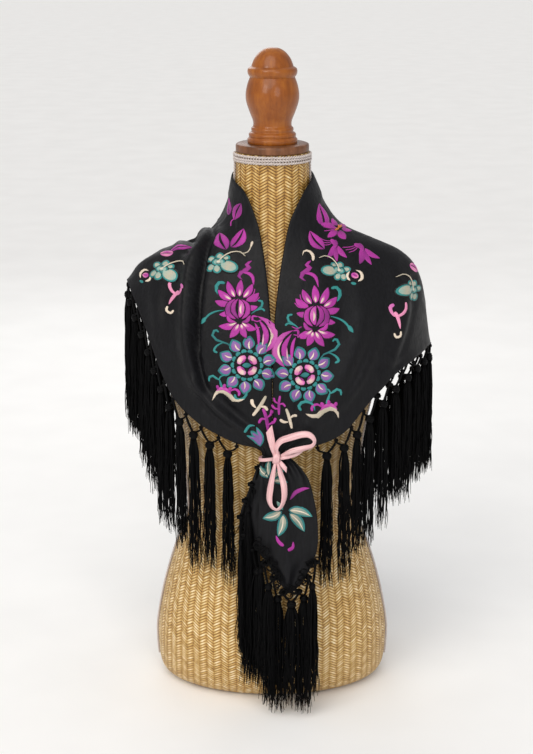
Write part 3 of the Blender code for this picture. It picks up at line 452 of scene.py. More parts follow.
def pink_satin():
    """Pale pink satin ribbon: glossy face, faint ribs along its length."""
    made, tree, shader = finish("satin_ribbon", Roughness=0.30, Sheen_Weight=0.10, Specular_IOR_Level=0.60,
                                Anisotropic=0.5, Coat_Weight=0.10, Coat_Roughness=0.3)
    uv = add(tree, "UVMap", uv_map="ribbon").outputs["UV"]
    warp_way = add(tree, "Mapping", {"Vector": uv, "Scale": (0.05, 2.2, 1.0)})
    warp = add(tree, "TexNoise", {"Vector": warp_way.outputs["Vector"], "Scale": 1.0,
                                  "Detail": 3.0}).outputs["Fac"]
    tree.links.new(ramp(tree, warp, [(0.3, "#c8949a"), (0.5, "#deaeb0"), (0.72, "#efcfcb")]),
                   shader.inputs["Base Color"])
    bump = add(tree, "Bump", {"Height": warp, "Distance": 0.0003, "Strength": 0.4})
    tree.links.new(bump.outputs["Normal"], shader.inputs["Normal"])
    return made


STRAW = woven_straw()
GIMP = cotton_braid()
DARK_WOOD = turned_wood("stained_beech", "#50301b", "#6b4329", "#84573a", 0.10)
HONEY_WOOD = turned_wood("varnished_beech", "#773c0a", "#8e4c10", "#a6621c", 0.36)
SILK = black_silk()
YARN = black_yarn()
STITCHES = embroidery_floss()
SATIN = pink_satin()


# Shapes

def smooth(points, shares):
    """Places on a smooth line through evenly numbered points, at shares from 0 to 1."""
    points = np.asarray(points, float)
    ends = np.concatenate([2 * points[:1] - points[1:2], points, 2 * points[-1:] - points[-2:-1]])
    place = np.clip(np.asarray(shares, float), 0.0, 0.999999) * (len(points) - 1)
    k = place.astype(int)
    s = (place - k).reshape((-1,) + (1,) * (points.ndim - 1))
    a, b, c, d = (ends[k + n] for n in range(4))
    return 0.5 * (a * (-s ** 3 + 2 * s ** 2 - s) + b * (3 * s ** 3 - 5 * s ** 2 + 2)
                  + c * (-3 * s ** 3 + 4 * s ** 2 + s) + d * (s ** 3 - s ** 2))


def from_table(table, heights):
    """Smooth values at heights from a table whose first column is the height."""
    z, values = table[:, 0], table[:, 1:]
    if z[0] > z[-1]:
        z, values = z[::-1], values[::-1]
    low = np.maximum(np.arange(len(z)) - 1, 0)
    high = np.minimum(np.arange(len(z)) + 1, len(z) - 1)
    slope = (values[high] - values[low]) / (z[high] - z[low])[:, None]
    heights = np.clip(heights, z[0], z[-1])
    k = np.clip(np.searchsorted(z, heights, side="right") - 1, 0, len(z) - 2)
    span = (z[k + 1] - z[k])[..., None]
    s = (heights - z[k])[..., None] / span
    return ((2 * s ** 3 - 3 * s ** 2 + 1) * values[k] + (s ** 3 - 2 * s ** 2 + s) * slope[k] * span
            + (3 * s ** 2 - 2 * s ** 3) * values[k + 1] + (s ** 3 - s ** 2) * slope[k + 1] * span)


def form_reach(points):
    """Distance from the neck axis to the form's surface, on the way to each point."""
    half, front, back = np.moveaxis(from_table(FORM_SECTIONS, points[..., 2]), -1, 0)
    depth = np.where(points[..., 1] < 0, front, back)
    away = np.maximum(np.hypot(points[..., 0], points[..., 1]), 1e-6)
    return 1.0 / np.sqrt((points[..., 0] / away / half) ** 2 + (points[..., 1] / away / depth) ** 2)


def clear_of_form(points, clearance):
    """Moves points outward from the neck axis until they are clear of the form."""
    soft = 0.0015
    away = np.hypot(points[..., 0], points[..., 1])
    least = form_reach(points) + clearance
    over = (away - least) / soft
    held = least + soft * 0.35 * np.exp(-np.abs(over))
    free = away + soft * 0.35 * np.exp(-np.maximum(over, 0.0))
    result = points.copy()
    result[..., :2] *= (np.where(over < 0, held, free) / away)[..., None]
    return result


def unit(vectors):
    return vectors / np.maximum(np.linalg.norm(vectors, axis=-1, keepdims=True), 1e-12)


def piece(name, points, faces, look, stands_for=()):
    """One smooth piece from points and faces that rides on the only body."""
    mesh = bpy.data.meshes.new(name)
    mesh.from_pydata(np.asarray(points).reshape(-1, 3).tolist(), [], faces)
    mesh.materials.append(look)
    mesh.shade_smooth()
    item = bpy.data.objects.new(name, mesh)
    bpy.context.scene.collection.objects.link(item)
    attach(item, "root")
    if stands_for:
        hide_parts(*stands_for)
    return item


def set_uv(item, name, values):
    """Writes a UV map from one pair of numbers for each point."""
    layer = item.data.uv_layers.new(name=name)
    corners = np.empty(len(item.data.loops), int)
    item.data.loops.foreach_get("vertex_index", corners)
    layer.data.foreach_set("uv", np.asarray(values, float).reshape(-1, 2)[corners].ravel())


def grid_faces(columns, rows, closed=False):
    """Four sided faces of a grid of points numbered column by column."""
    faces = []
    for i in range(columns if closed else columns - 1):
        n = (i + 1) % columns
        for j in range(rows - 1):
            faces.append((i * rows + j, n * rows + j, n * rows + j + 1, i * rows + j + 1))
    return faces


def grid_normals(grid, outward):
    """Unit directions out of a grid of points, on the side of the outward vectors."""
    across = np.gradient(grid, axis=0)
    down = np.gradient(grid, axis=1)
    normal = unit(np.cross(across, down))
    if (normal * outward).sum() < 0:
        normal = -normal
    return normal


def sheet_piece(name, grid, outward, thickness, look, stands_for=()):
    """Thin closed shell whose outer face is a grid of points."""
    columns, rows = grid.shape[:2]
    normal = grid_normals(grid, outward)
    inner = grid - normal * thickness
    faces = grid_faces(columns, rows)
    turned = (np.cross(np.gradient(grid, axis=0), np.gradient(grid, axis=1)) * normal).sum() < 0
    half = columns * rows
    outer_faces = [face[::-1] if turned else face for face in faces]
    inner_faces = [tuple(half + k for k in reversed(face)) for face in outer_faces]
    rim = [i * rows for i in range(columns)] + [(columns - 1) * rows + j for j in range(1, rows)]
    rim += [i * rows + rows - 1 for i in range(columns - 2, -1, -1)] + [j for j in range(rows - 2, 0, -1)]
    edge = []
    for k, a in enumerate(rim):
        b = rim[(k + 1) % len(rim)]
        edge.append((b, a, half + a, half + b) if not turned else (a, b, half + b, half + a))
    points = np.concatenate([grid.reshape(-1, 3), inner.reshape(-1, 3)])
    return piece(name, points, outer_faces + inner_faces + edge, look, stands_for)


def tube_rings(paths, radii, sides):
    """Rings of points round many paths at once, and the faces between them."""
    count, steps = paths.shape[:2]
    ahead = unit(np.gradient(paths, axis=1))
    normal = np.empty_like(paths)
    normal[:, 0] = unit(np.cross(ahead[:, 0], np.array([0.37, 0.81, 0.45])))
    for k in range(1, steps):
        kept = normal[:, k - 1] - ahead[:, k] * (normal[:, k - 1] * ahead[:, k]).sum(-1, keepdims=True)
        normal[:, k] = unit(kept)
    side = np.cross(ahead, normal)
    turn = tau * np.arange(sides) / sides
    out = (normal[:, :, None] * np.cos(turn)[:, None] + side[:, :, None] * np.sin(turn)[:, None])
    rings = paths[:, :, None] + out * np.broadcast_to(radii, (count, steps))[:, :, None, None]
    first = (np.arange(count) * steps * sides)[:, None, None]
    step = (np.arange(steps - 1) * sides)[None, :, None]
    here = np.arange(sides)[None, None, :]
    after = (np.arange(sides) + 1)[None, None, :] % sides
    walls = np.stack([first + step + here, first + step + after, first + step + sides + after,
                      first + step + sides + here], axis=-1).reshape(-1, 4)
    starts = (np.arange(count) * steps * sides)[:, None] + np.arange(sides)[::-1][None, :]
    ends = (np.arange(count) * steps * sides + (steps - 1) * sides)[:, None] + np.arange(sides)[None, :]
    return rings.reshape(-1, 3), walls, np.concatenate([starts, ends])


class Skein:
    """Yarns and cords gathered into one piece."""

    def __init__(self):
        self.points = []
        self.faces = []
        self.count = 0

    def lay(self, paths, radii, sides):
        paths = np.asarray(paths, float)
        if paths.ndim == 2:
            paths = paths[None]
        points, walls, caps = tube_rings(paths, radii, sides)
        self.points.append(points)
        self.faces += (walls + self.count).tolist() + (caps + self.count).tolist()
        self.count += len(points)

    def done(self, name, look, stands_for=(), slot=None):
        return piece(name, np.concatenate(self.points), self.faces, look, stands_for)


# Dress form

def straw_body():
    """Straw covered body: upright columns of splints, each a low ridge, cut at the side seams."""
    around, up = 480, 84
    heights = np.concatenate([[0.0, 0.0015, 0.004, 0.0075, 0.011, 0.017], np.linspace(0.024, NECK_TOP, up)])
    turn = np.linspace(0.0, tau, around, endpoint=False)
    grid = np.zeros((around, len(heights), 3))
    grid[..., 0] = np.sin(turn)[:, None]
    grid[..., 1] = -np.cos(turn)[:, None]
    grid[..., 2] = heights[None, :]
    reach = form_reach(grid)
    grid[..., :2] *= reach[..., None]
    step = np.linalg.norm(np.diff(grid, axis=0, append=grid[:1]), axis=-1)
    girth = np.concatenate([np.zeros((1, len(heights))), np.cumsum(step, axis=0)[:-1]])
    whole = girth[-1] + step[-1]
    from_middle = np.minimum(girth, whole - girth)
    behind = whole / 2 - from_middle
    side = np.where(girth < whole / 2, 1.0, -1.0)
    nearest = np.where(np.abs(grid[..., 1]) > 1e-9, np.sign(-grid[..., 1]), 1.0)
    across = np.where(nearest > 0, from_middle, -behind - 0.003) * side
    wide = np.interp(heights, [0.0, 0.12, 0.27, 0.48, 0.60, 0.70, NECK_TOP],
                     [0.0112, 0.0114, 0.0100, 0.0112, 0.0114, 0.0114, 0.0114])
    column = across / wide + 100.5
    inside = column - np.floor(column)
    ridge = np.sin(pi * inside) ** 0.6 * 0.0004 - 0.0004
    grid[..., :2] *= (1.0 + ridge / reach)[..., None]
    rows = len(heights)
    faces = grid_faces(around, rows, closed=True)
    points = np.concatenate([grid.reshape(-1, 3), [[0.0, 0.0, 0.0], [0.0, 0.0, NECK_TOP]]])
    low, high = around * rows, around * rows + 1
    for i in range(around):
        n = (i + 1) % around
        faces.append((low, n * rows, i * rows))
        faces.append((high, i * rows + rows - 1, n * rows + rows - 1))
    item = piece("straw_body", points, faces, STRAW, ["form_body"])
    lengths = np.broadcast_to(heights[None, :] / MM, column.shape)
    values = np.concatenate([np.stack([column, lengths], axis=-1).reshape(-1, 2), [[0.0, 0.0], [0.0, 0.0]]])
    set_uv(item, "weave", values)
    return item


def gimp_rows(skein, path, out, rows, spread, strand):
    """Rows of twisted cord side by side along a path, each row's twist against its neighbour's."""
    ahead = unit(np.gradient(path, axis=0))
    side = np.cross(ahead, out)
    length = np.concatenate([[0.0], np.cumsum(np.linalg.norm(np.diff(path, axis=0), axis=-1))])
    for row in range(rows):
        for ply in range(2):
            turn = (tau * length / GIMP_TWIST + pi * ply) * (1 if row % 2 else -1)
            line = path + side * (row - (rows - 1) / 2) * spread + out * strand * np.cos(turn)[:, None] * 0.9
            skein.lay(line + side * strand * 0.95 * np.sin(turn)[:, None], strand, 5)


def neck_braid():
    """Gimp round the top of the neck."""
    turn = np.linspace(0.0, tau, 601)
    path = np.stack([np.sin(turn), -np.cos(turn), np.full_like(turn, 0.7664)], axis=-1)
    out = path * [1.0, 1.0, 0.0]
    path[:, :2] *= (form_reach(path) + 0.0021)[:, None]
    skein = Skein()
    gimp_rows(skein, path, unit(out), 3, 0.0039, 0.00105)
    return skein.done("neck_gimp", GIMP, ["form_neck_braid"], "cotton_braid")


def side_braid(name, node, side):
    """Gimp down a side seam from the neck to the rounded underside."""
    heights = np.linspace(0.7625, 0.025, 1100)
    half = from_table(FORM_SECTIONS, heights)[:, 0]
    path = np.stack([side * half, np.zeros_like(half), heights], axis=-1)
    ahead = unit(np.gradient(path, axis=0))
    out = unit(np.cross(ahead, [0.0, side, 0.0]))
    out *= np.sign(out[:, 0] * side)[:, None]
    skein = Skein()
    gimp_rows(skein, path + out * 0.0013, out, 2, 0.0036, 0.00100)
    return skein.done(name, GIMP, [node], "cotton_braid")


def turned(name, curves, look, node, slot):
    """Turned wood piece: each curve is a smooth run of height and radius, and curves meet at corners."""
    outline = [(0.0, curves[0][0][0])]
    for curve in curves:
        steps = 2 if len(curve) == 2 else 6 * len(curve)
        for height, radius in smooth(curve, np.linspace(0.0, 1.0, steps)):
            if abs(radius - outline[-1][0]) + abs(height - outline[-1][1]) > 1e-5:
                outline.append((max(radius, 0.0), height))
    deselect()
    mesh = bpy.data.meshes.new(name)
    mesh.from_pydata([(radius, 0.0, height) for radius, height in outline],
                     [(k, k + 1) for k in range(len(outline) - 1)], [])
    item = bpy.data.objects.new(name, mesh)
    bpy.context.scene.collection.objects.link(item)
    bpy.context.view_layer.objects.active = item
    item.select_set(True)
    bpy.ops.object.mode_set(mode="EDIT")
    bpy.ops.mesh.select_all(action="SELECT")
    bpy.ops.mesh.spin(steps=96, angle=tau, center=(0.0, 0.0, 0.0), axis=(0.0, 0.0, 1.0))
    bpy.ops.mesh.select_all(action="SELECT")
    bpy.ops.mesh.remove_doubles(threshold=1e-6)
    bpy.ops.mesh.normals_make_consistent(inside=False)
    bpy.ops.object.mode_set(mode="OBJECT")
    bpy.ops.object.shade_smooth_by_angle(angle=radians(32))
    mesh.materials.append(look)
    deselect()
    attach(item, "root")
    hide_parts(node)
    return item


def wooden_parts():
    low, high = DISC_LOW.z, DISC_HIGH.z
    radius = DISC_HIGH.x
    turned("wood_disc", [
        [(low, 0.0), (low, radius - 0.0022)],
        [(low, radius - 0.0022), (low + 0.0007, radius - 0.0006), (low + 0.0024, radius)],
        [(low + 0.0024, radius), (high - 0.0030, radius)],
        [(high - 0.0030, radius), (high - 0.0009, radius - 0.0008), (high, radius - 0.0030)],
        [(high, radius - 0.0030), (high, 0.0)],
    ], DARK_WOOD, "form_disc", "stained_wood")
    base, top = FINIAL_LOW.z, FINIAL_HIGH.z
    curves = [
        [(0.0, 0.0), (0.0, 0.0335)],
        [(0.0, 0.0335), (0.0016, 0.0340), (0.0052, 0.0340), (0.0070, 0.0326)],
        [(0.0070, 0.0326), (0.0082, 0.0316), (0.0096, 0.0320), (0.0122, 0.0320), (0.0142, 0.0304)],
        [(0.0142, 0.0304), (0.0154, 0.0285), (0.0180, 0.0288), (0.0204, 0.0284), (0.0222, 0.0266)],
        [(0.0222, 0.0266), (0.0250, 0.0260), (0.0310, 0.0268), (0.0430, 0.0315), (0.0550, 0.0354),
         (0.0660, 0.0362), (0.0780, 0.0340), (0.0880, 0.0304)],
        [(0.0880, 0.0304), (0.0900, 0.0318), (0.0928, 0.0332), (0.0965, 0.0336), (0.0996, 0.0326),
         (0.1012, 0.0302)],
        [(0.1012, 0.0302), (0.1022, 0.0284)],
        [(0.1022, 0.0284), (0.1060, 0.0272), (0.1120, 0.0246), (0.1180, 0.0204), (0.1230, 0.0148),
         (0.1262, 0.0080), (0.1272, 0.0)],
    ]
    stretch = (top - base) / curves[-1][-1][0]
    turned("wood_finial", [[(base + up * stretch, out) for up, out in curve] for curve in curves],
           HONEY_WOOD, "form_finial", "varnished_wood")


# Cloth

def fold_heights(points, folds):
    """Sum of the folds at each point, each a soft ridge or trough along a bent line in x and z."""
    total = np.zeros(points.shape[:-1])
    s = np.arange(33) / 32
    for line, half_width, height, *right_half in folds:
        x, z = smooth(line, s).T
        away = np.hypot(points[..., 0, None] - x, points[..., 2, None] - z)
        nearest = away.min(-1)
        closest = away.argmin(-1)
        fade = 0.35 + 0.65 * np.sin(pi * np.clip(s[closest], 0.08, 0.92))
        if right_half:
            half_width = np.where(points[..., 0] > x[closest], right_half[0], half_width)
        total += height * fade * np.exp(-(nearest / half_width) ** 2)
    return total


def cloth_places():
    """Where the cloth's columns lie among its lines, and where each stretch of fringe starts and ends."""
    places = [0.0, 1.0, 2.0]
    marks = {}
    end = len(LINES) - 1.0
    for name, first, last, start_length, end_length in STRETCHES:
        steps = first + (last - first) * np.arange(201) / 200
        hem = smooth(LINES[:, 3], steps / end)
        lengths = np.concatenate([[0.0], np.cumsum(np.linalg.norm(np.diff(hem, axis=0), axis=-1))])
        count = 2 * round(lengths[-1] / PITCH)
        marks[name] = (len(places), len(places) + count, start_length, end_length)
        places += list(np.interp(lengths[-1] * np.arange(count) / count, lengths, steps))
    places += [STRETCHES[-1][2], end - 2.0, end - 1.0, end]
    return np.array(places) / end, marks


FINE = 3                        # columns of the fine cloth to each column of the solid
BAND_ROWS = 14
FIELD_ROWS = 74


def crease_field(grid, normal):
    """Small creases and puckers, as uneven in length, depth and direction as those of worn silk."""
    total = np.zeros(grid.shape[:2])
    columns, rows = total.shape
    across = unit(np.gradient(grid, axis=0))
    down = unit(np.gradient(grid, axis=1))
    for number in range(CREASES):
        i = int(RANDOM.integers(8, columns - 8))
        j = int(RANDOM.integers(BAND_ROWS + 3, rows - 2))
        centre = grid[i, j]
        lean = RANDOM.normal(0.0, 0.35) + (0.0 if number % 3 else pi / 2)
        way = down[i, j] * cos(lean) + across[i, j] * sin(lean)
        length = RANDOM.uniform(0.014, 0.050)
        half_width = RANDOM.uniform(0.0022, 0.0050)
        height = RANDOM.uniform(0.0001, 0.0006) * RANDOM.choice([-1.0, 1.0, 1.0])
        away = grid - centre
        far = (away * way).sum(-1)
        level = (away * normal[i, j]).sum(-1)
        beside = np.sqrt(np.maximum((away ** 2).sum(-1) - far ** 2 - level ** 2, 0.0))
        near = np.abs(level) < 0.03
        total += near * height * np.exp(-(beside / half_width) ** 2 - (far / (length * 0.5)) ** 2)
    return total


def shawl_grid():
    """Outer face of the shawl as a fine grid, from the neckline to the fringed edge in each column."""
    places, marks = cloth_places()
    fine = np.interp(np.arange(FINE * (len(places) - 1) + 1) / FINE, np.arange(len(places)), places)
    line = smooth(LINES, fine)
    path = np.moveaxis(smooth(np.moveaxis(line, 1, 0), np.arange(49) / 48), 0, 1)
    path = clear_of_form(path, CLOTH_CLEARANCE)
    grid = np.empty((len(fine), BAND_ROWS + FIELD_ROWS, 3))
    share = np.empty(grid.shape[:2])
    band_share = np.empty(grid.shape[:2])
    for i, points in enumerate(path):
        lengths = np.concatenate([[0.0], np.cumsum(np.linalg.norm(np.diff(points, axis=0), axis=-1))])
        band = min(BAND_WIDTH, lengths[-1] * 0.35)
        stops = np.concatenate([np.linspace(0.0, 1.0, BAND_ROWS) ** 1.4 * band,
                                band + (lengths[-1] - band) * (np.arange(FIELD_ROWS) + 1) / FIELD_ROWS])
        share[i] = stops / lengths[-1]
        band_share[i] = stops / band
        for axis in range(3):
            grid[i, :, axis] = np.interp(stops, lengths, points[:, axis])
    outward = grid * [1.0, 1.0, 0.0]
    normal = grid_normals(grid, outward)
    front = grid[..., 1] < 0.03
    folds = np.where(front, fold_heights(grid, FRONT_FOLDS), fold_heights(grid, BACK_FOLDS))
    on_band = np.clip((1.06 - band_share) / 0.10, 0.0, 1.0)
    on_band = on_band * on_band * (3 - 2 * on_band)
    roll = np.sqrt(np.clip(1 - (1 - np.minimum(band_share / 0.14, 1.0)) ** 2, 0.0, 1.0))
    rise = folds * (1 - 0.6 * on_band) + BAND_RISE * roll * on_band
    rise += crease_field(grid, normal) * (1 - 0.8 * on_band)
    near_tie = np.where(grid[..., 1] < 0, np.clip((grid[..., 2] - 0.386) / 0.03, 0.0, 1.0), 1.0)
    gathered = np.where(grid[..., 1] < 0, np.exp(-np.clip(grid[..., 2] - 0.380, 0.0, 1.0) / 0.030), 0.0)
    pleats = 0.0011 * np.sin(tau * 5.5 * share + 0.6) * gathered * (1 - on_band)
    moved = grid + normal * (rise * near_tie + pleats)[..., None]
    return clear_of_form(moved, CLOTH_CLEARANCE - 0.0004), marks


def tail_grid(table, flute, gathers):
    """Outer face of one hanging end of the shawl."""
    across, rows = 61, 90
    heights = np.linspace(table[0, 0], table[-1, 0], rows)
    left, right, y = from_table(table, heights).T
    share = np.linspace(0.0, 1.0, across)[:, None]
    width = (right - left)[None, :]
    wave = flute * np.sin(3.3 * pi * share + 0.8) * np.minimum(1.0, width / 0.05)
    round_off = 0.004 * (2 * share - 1) ** 2 * np.minimum(1.0, width / 0.07)
    below = (table[0, 0] - heights)[None, :]
    fan = gathers * np.sin(tau * (4.5 * share + 0.15 * np.sin(5 * share))) * np.exp(-below / 0.045)
    fan *= np.minimum(1.0, below / 0.012)
    ripple = 0.0007 * np.sin(tau * (2.3 * share + below / 0.06)) * np.minimum(1.0, below / 0.03)
    grid = np.empty((across, rows, 3))
    grid[..., 0] = left[None, :] + width * share
    grid[..., 1] = y[None, :] + wave + round_off - fan + ripple
    grid[..., 2] = heights[None, :]
    return grid


def hem_cord(name, line, radius, look, slot):
    """Narrow rolled hem along an edge."""
    skein = Skein()
    skein.lay(line, radius, 6)
    return skein.done(name, look, (), slot)


def resample(points, steps):
    """Equal steps along a line of points."""
    lengths = np.concatenate([[0.0], np.cumsum(np.linalg.norm(np.diff(points, axis=0), axis=-1))])
    wanted = lengths[-1] * np.arange(steps + 1) / steps
    return np.stack([np.interp(wanted, lengths, points[:, axis]) for axis in range(3)], axis=-1)


def beyond(points, distance):
    """A tail's edge moved a little outward, and back to the middle of the cloth."""
    before = np.concatenate([points[:1], points[:-1]])
    after = np.concatenate([points[1:], points[-1:]])
    ahead = after - before
    away = unit(np.stack([-ahead[:, 2], np.zeros(len(ahead)), ahead[:, 0]], axis=-1))
    return points + away * distance + [0.0, CLOTH_THICKNESS / 2, 0.0]


# Fringe

class Fringe:
    """Netted heading and tassels along one stretch of a cloth edge.

    The edge has a bundle of yarn at its even points and a tassel at its odd ones.
    """

    steps = 15

    def __init__(self, name, edge, start_length, end_length, level=None, stagger=0.0, full=1.25, strands=46,
                 middle=None):
        self.edge = edge
        self.middle = middle
        self.full = full
        self.strands = strands
        self.level = level
        self.stagger = stagger
        self.skein = Skein()
        last = len(edge) - 1
        tassels = last // 2
        for k in range(tassels):
            length = start_length + (end_length - start_length) * (k + 0.5) / tassels
            self.tassel(2 * k + 1, length)
        for number in range(0, last + 1, 2):
            self.bundle(number)
        if middle is not None:
            for number in range(last + 1):
                self.slack_loops(number)
        if name == "tail_rear":
            for number in (last - 4, last - 2):
                self.strays(number, 3)
        self.item = self.skein.done("yarn_" + name, YARN, ["fringe_" + name], "black_fringe")

    def directions(self, number):
        """Level directions along and out of the edge."""
        ahead = self.edge[min(number + 1, len(self.edge) - 1)] - self.edge[max(number - 1, 0)]
        level = self.level if self.level is not None else unit(ahead * [1.0, 1.0, 0.0])
        return level, np.array([level[1], -level[0], 0.0])

    def top_of(self, number):
        """Middle of the top of a tassel's knot, and how far its width is squeezed."""
        level, out = self.directions(number)
        turn = number // 2
        point = self.edge[number] + out * self.stagger * (1 if turn % 2 else -1)
        before, after = self.edge[number - 1], self.edge[number + 1]
        squeeze = min(1.0, abs((after - before) @ level) / (0.0155 if self.stagger else 0.019))
        lowest = max(0.0, point[2] - min(before[2], after[2]))
        top = point[2] - 0.0025 - POST_LENGTH - NET_DROP - lowest
        return np.array([point[0], point[1], top]), squeeze

    def bundle(self, number):
        """Yarns drawn through the edge, bound once, then parted to the tassels on both sides."""
        level, out = self.directions(number)
        hole = self.edge[number]
        bottom = hole - [0.0, 0.0, 0.0025 + POST_LENGTH]
        for side in (-1, 1):
            neighbour = number + side
            if not 0 < neighbour < len(self.edge):
                continue
            top, squeeze = self.top_of(neighbour)
            meet = top - level * side * 0.0013 * squeeze
            lines = []
            for yarn in range(4):
                turn = tau * yarn / 4 + 0.6
                shift = (level * cos(turn) + out * sin(turn)) * 0.00085
                sag = [0.0, 0.0, -0.0012 + 0.0006 * (yarn % 2)]
                start = hole + out * (0.0008 if yarn % 2 else -0.0008) + [0.0, 0.0, 0.0008]
                middle = (bottom + meet) / 2 + sag
                lines.append(smooth([start, hole - [0.0, 0.0, 0.0035] + shift * 0.8,
                                     bottom + shift + level * side * 0.0006, middle + shift * 1.25,
                                     meet + shift * 0.9, meet - [0.0, 0.0, 0.0030]], np.linspace(0, 1, 15)))
            self.skein.lay(np.array(lines), 0.00085, 5)
        turn = np.linspace(0.0, tau * 2.2, 27)
        drop = np.linspace(0.0030, 0.0056, 27)
        lump = 1.9 if self.stagger else 1.15
        coil = (hole + (level * np.cos(turn)[:, None] * 0.0019 + out * np.sin(turn)[:, None] * 0.0017) * lump
                - np.stack([0 * drop, 0 * drop, drop], axis=-1))
        self.skein.lay(coil, 0.0008 * lump, 5)

    def strays(self, number, count):
        """Single threads that have slipped out of a tassel and hang in loose curls."""
        level, out = self.directions(number)
        start, _ = self.top_of(number)
        for _ in range(count):
            swing = RANDOM.uniform(0.5, 1.3)
            aside = np.array([0.0, 0.004, 0.011, 0.015, 0.010, 0.013, 0.006]) * swing
            drop = np.array([0.0, 0.014, 0.030, 0.052, 0.075, 0.096, 0.118]) * RANDOM.uniform(0.7, 1.05)
            aside = aside + RANDOM.normal(0.0, 0.0016, 7)
            path = start + level * aside[:, None] - drop[:, None] * [0.0, 0.0, 1.0]
            self.skein.lay(smooth(path, np.linspace(0.0, 1.0, 31)), 0.00042, 4)

    def slack_loops(self, number):
        """Slack loops of net cord that lie on the cloth beside its edge."""
        inward = 1.0 if self.middle > self.edge[number][0] else -1.0
        for _ in range(3):
            centre = self.edge[number] + [inward * RANDOM.uniform(-0.002, 0.009),
                                          RANDOM.uniform(-0.0085, -0.0050),
                                          RANDOM.uniform(-0.004, 0.011)]
            wide, tall = RANDOM.uniform(0.0030, 0.0058, 2)
            start = RANDOM.uniform(0.0, tau)
            turn = start + np.linspace(0.0, tau * RANDOM.uniform(0.7, 1.15), 15)
            path = centre + np.stack([np.cos(turn) * wide, 0.0014 * np.sin(2 * turn), np.sin(turn) * tall],
                                     axis=-1)
            self.skein.lay(path, 0.0010, 5)

    def tassel(self, number, length):
        """A wrapped knot and the loose strands below it."""
        level, out = self.directions(number)
        top, squeeze = self.top_of(number)
        turn_number = number // 2
        wide = 0.0050 * squeeze
        heights = np.linspace(0.0012, -KNOT_LENGTH - 0.0015, 7)
        core = top + heights[:, None] * [0.0, 0.0, 1.0]
        self.skein.lay(core, np.array([0.0018, 0.0030, 0.0036, 0.0037, 0.0036, 0.0034, 0.0030]) * squeeze, 8)
        turn = np.linspace(0.0, tau * 3.3, 46)
        share = np.linspace(0.0, 1.0, 46)
        swell = 0.80 + 0.32 * np.sin(pi * share)
        drop = 0.0006 + share * (KNOT_LENGTH - 0.0008) + 0.0006 * np.sin(turn)
        coil_level = level * (np.cos(turn) * swell)[:, None] * wide
        coil_out = out * (np.sin(turn) * swell)[:, None] * 0.0036
        coil = top + coil_level + coil_out - drop[:, None] * [0.0, 0.0, 1.0]
        self.skein.lay(coil, 0.00145, 6)
        low = top - [0.0, 0.0, KNOT_LENGTH - 0.0010]
        uneven = 0.10 if self.stagger else 0.05
        reach = min((length + 0.005) * (1.0 + uneven * sin(turn_number * 2.3)),
                    low[2] - FLOOR_CLEARANCE - 0.002)
        count = self.strands
        share = np.linspace(0.0, 1.0, self.steps) ** 0.85
        angle = RANDOM.uniform(0.0, tau, count)
        ring = np.sqrt(RANDOM.uniform(0.05, 1.0, count))
        a = (np.cos(angle) * ring)[:, None]
        b = (np.sin(angle) * ring)[:, None]
        open_out = 1.0 - np.exp(-share / 0.07)
        flare = (0.0026 + 0.0036 * open_out + 0.0016 * share ** 2) * self.full
        sway = 0.0 if self.stagger else 0.0020 * sin(turn_number * 1.7)
        wave = 0.0013 * share ** 0.6
        first, second = RANDOM.uniform(0.0, tau, (2, count, 1))
        rate = RANDOM.uniform(1.6, 4.2, (count, 1))
        drift = RANDOM.normal(0.0, 0.0016, (2, count, 1)) * share ** 2
        along_level = (a * flare * squeeze + wave * np.sin(tau * rate * share + first) + drift[0]
                       + sway * share)
        along_out = b * flare * 0.72 + wave * np.cos(tau * rate * share + second) * 0.8 + drift[1]
        lengths = reach * RANDOM.uniform(0.84, 1.0, (count, 1)) ** 0.8
        lengths[: count // 6] *= RANDOM.uniform(0.62, 0.9, (count // 6, 1))
        lines = (low + level * along_level[..., None] + out * along_out[..., None]
                 - (lengths * share)[..., None] * [0.0, 0.0, 1.0])
        lines = clear_of_form(lines, 0.0014)
        thick = np.interp(share, [0.0, 0.1, 0.8, 1.0], [0.00062, 0.00078, 0.00066, 0.00030])
        self.skein.lay(lines, thick[None, :], 3)


# Ribbon

def ribbon(name, node, points, facings, widths, steps=12, cut=0.0, crown=0.0007):
    """Satin ribbon along a smooth line, turned so that its face looks the given ways."""
    shares = np.linspace(0.0, 1.0, steps * (len(points) - 1) + 1)
    line = smooth(points, shares)
    facing = unit(smooth(facings, shares))
    ahead = unit(np.gradient(line, axis=0))
    across = unit(np.cross(ahead, facing))
    facing = np.cross(across, ahead)
    width = np.interp(shares, np.linspace(0.0, 1.0, len(widths)), widths)
    stations = np.linspace(-0.5, 0.5, 9)
    arch = (1 - (2 * stations) ** 2) * crown
    furrow = 0.35 * crown * np.cos(3 * pi * stations)[None, :] * np.sin(9.0 * shares)[:, None]
    grid = (line[:, None] + across[:, None] * (stations * width[:, None])[..., None]
            + facing[:, None] * (arch[None, :] + furrow)[..., None])
    ends = np.clip((shares - 0.9) / 0.1, 0.0, 1.0)[:, None] * cut
    grid += ahead[:, None] * (ends * stations[None, :])[..., None]
    item = sheet_piece(name, grid, np.broadcast_to(facing[:, None], grid.shape), 0.00035, SATIN,
                       [node] if node else ())
    lengths = np.concatenate([[0.0], np.cumsum(np.linalg.norm(np.diff(line, axis=0), axis=-1))]) / MM
    flat = np.stack([np.broadcast_to(lengths[:, None], grid.shape[:2]),
                     stations[None, :] * width[:, None] / MM], axis=-1).reshape(-1, 2)
    set_uv(item, "ribbon", np.concatenate([flat, flat]))
    return item


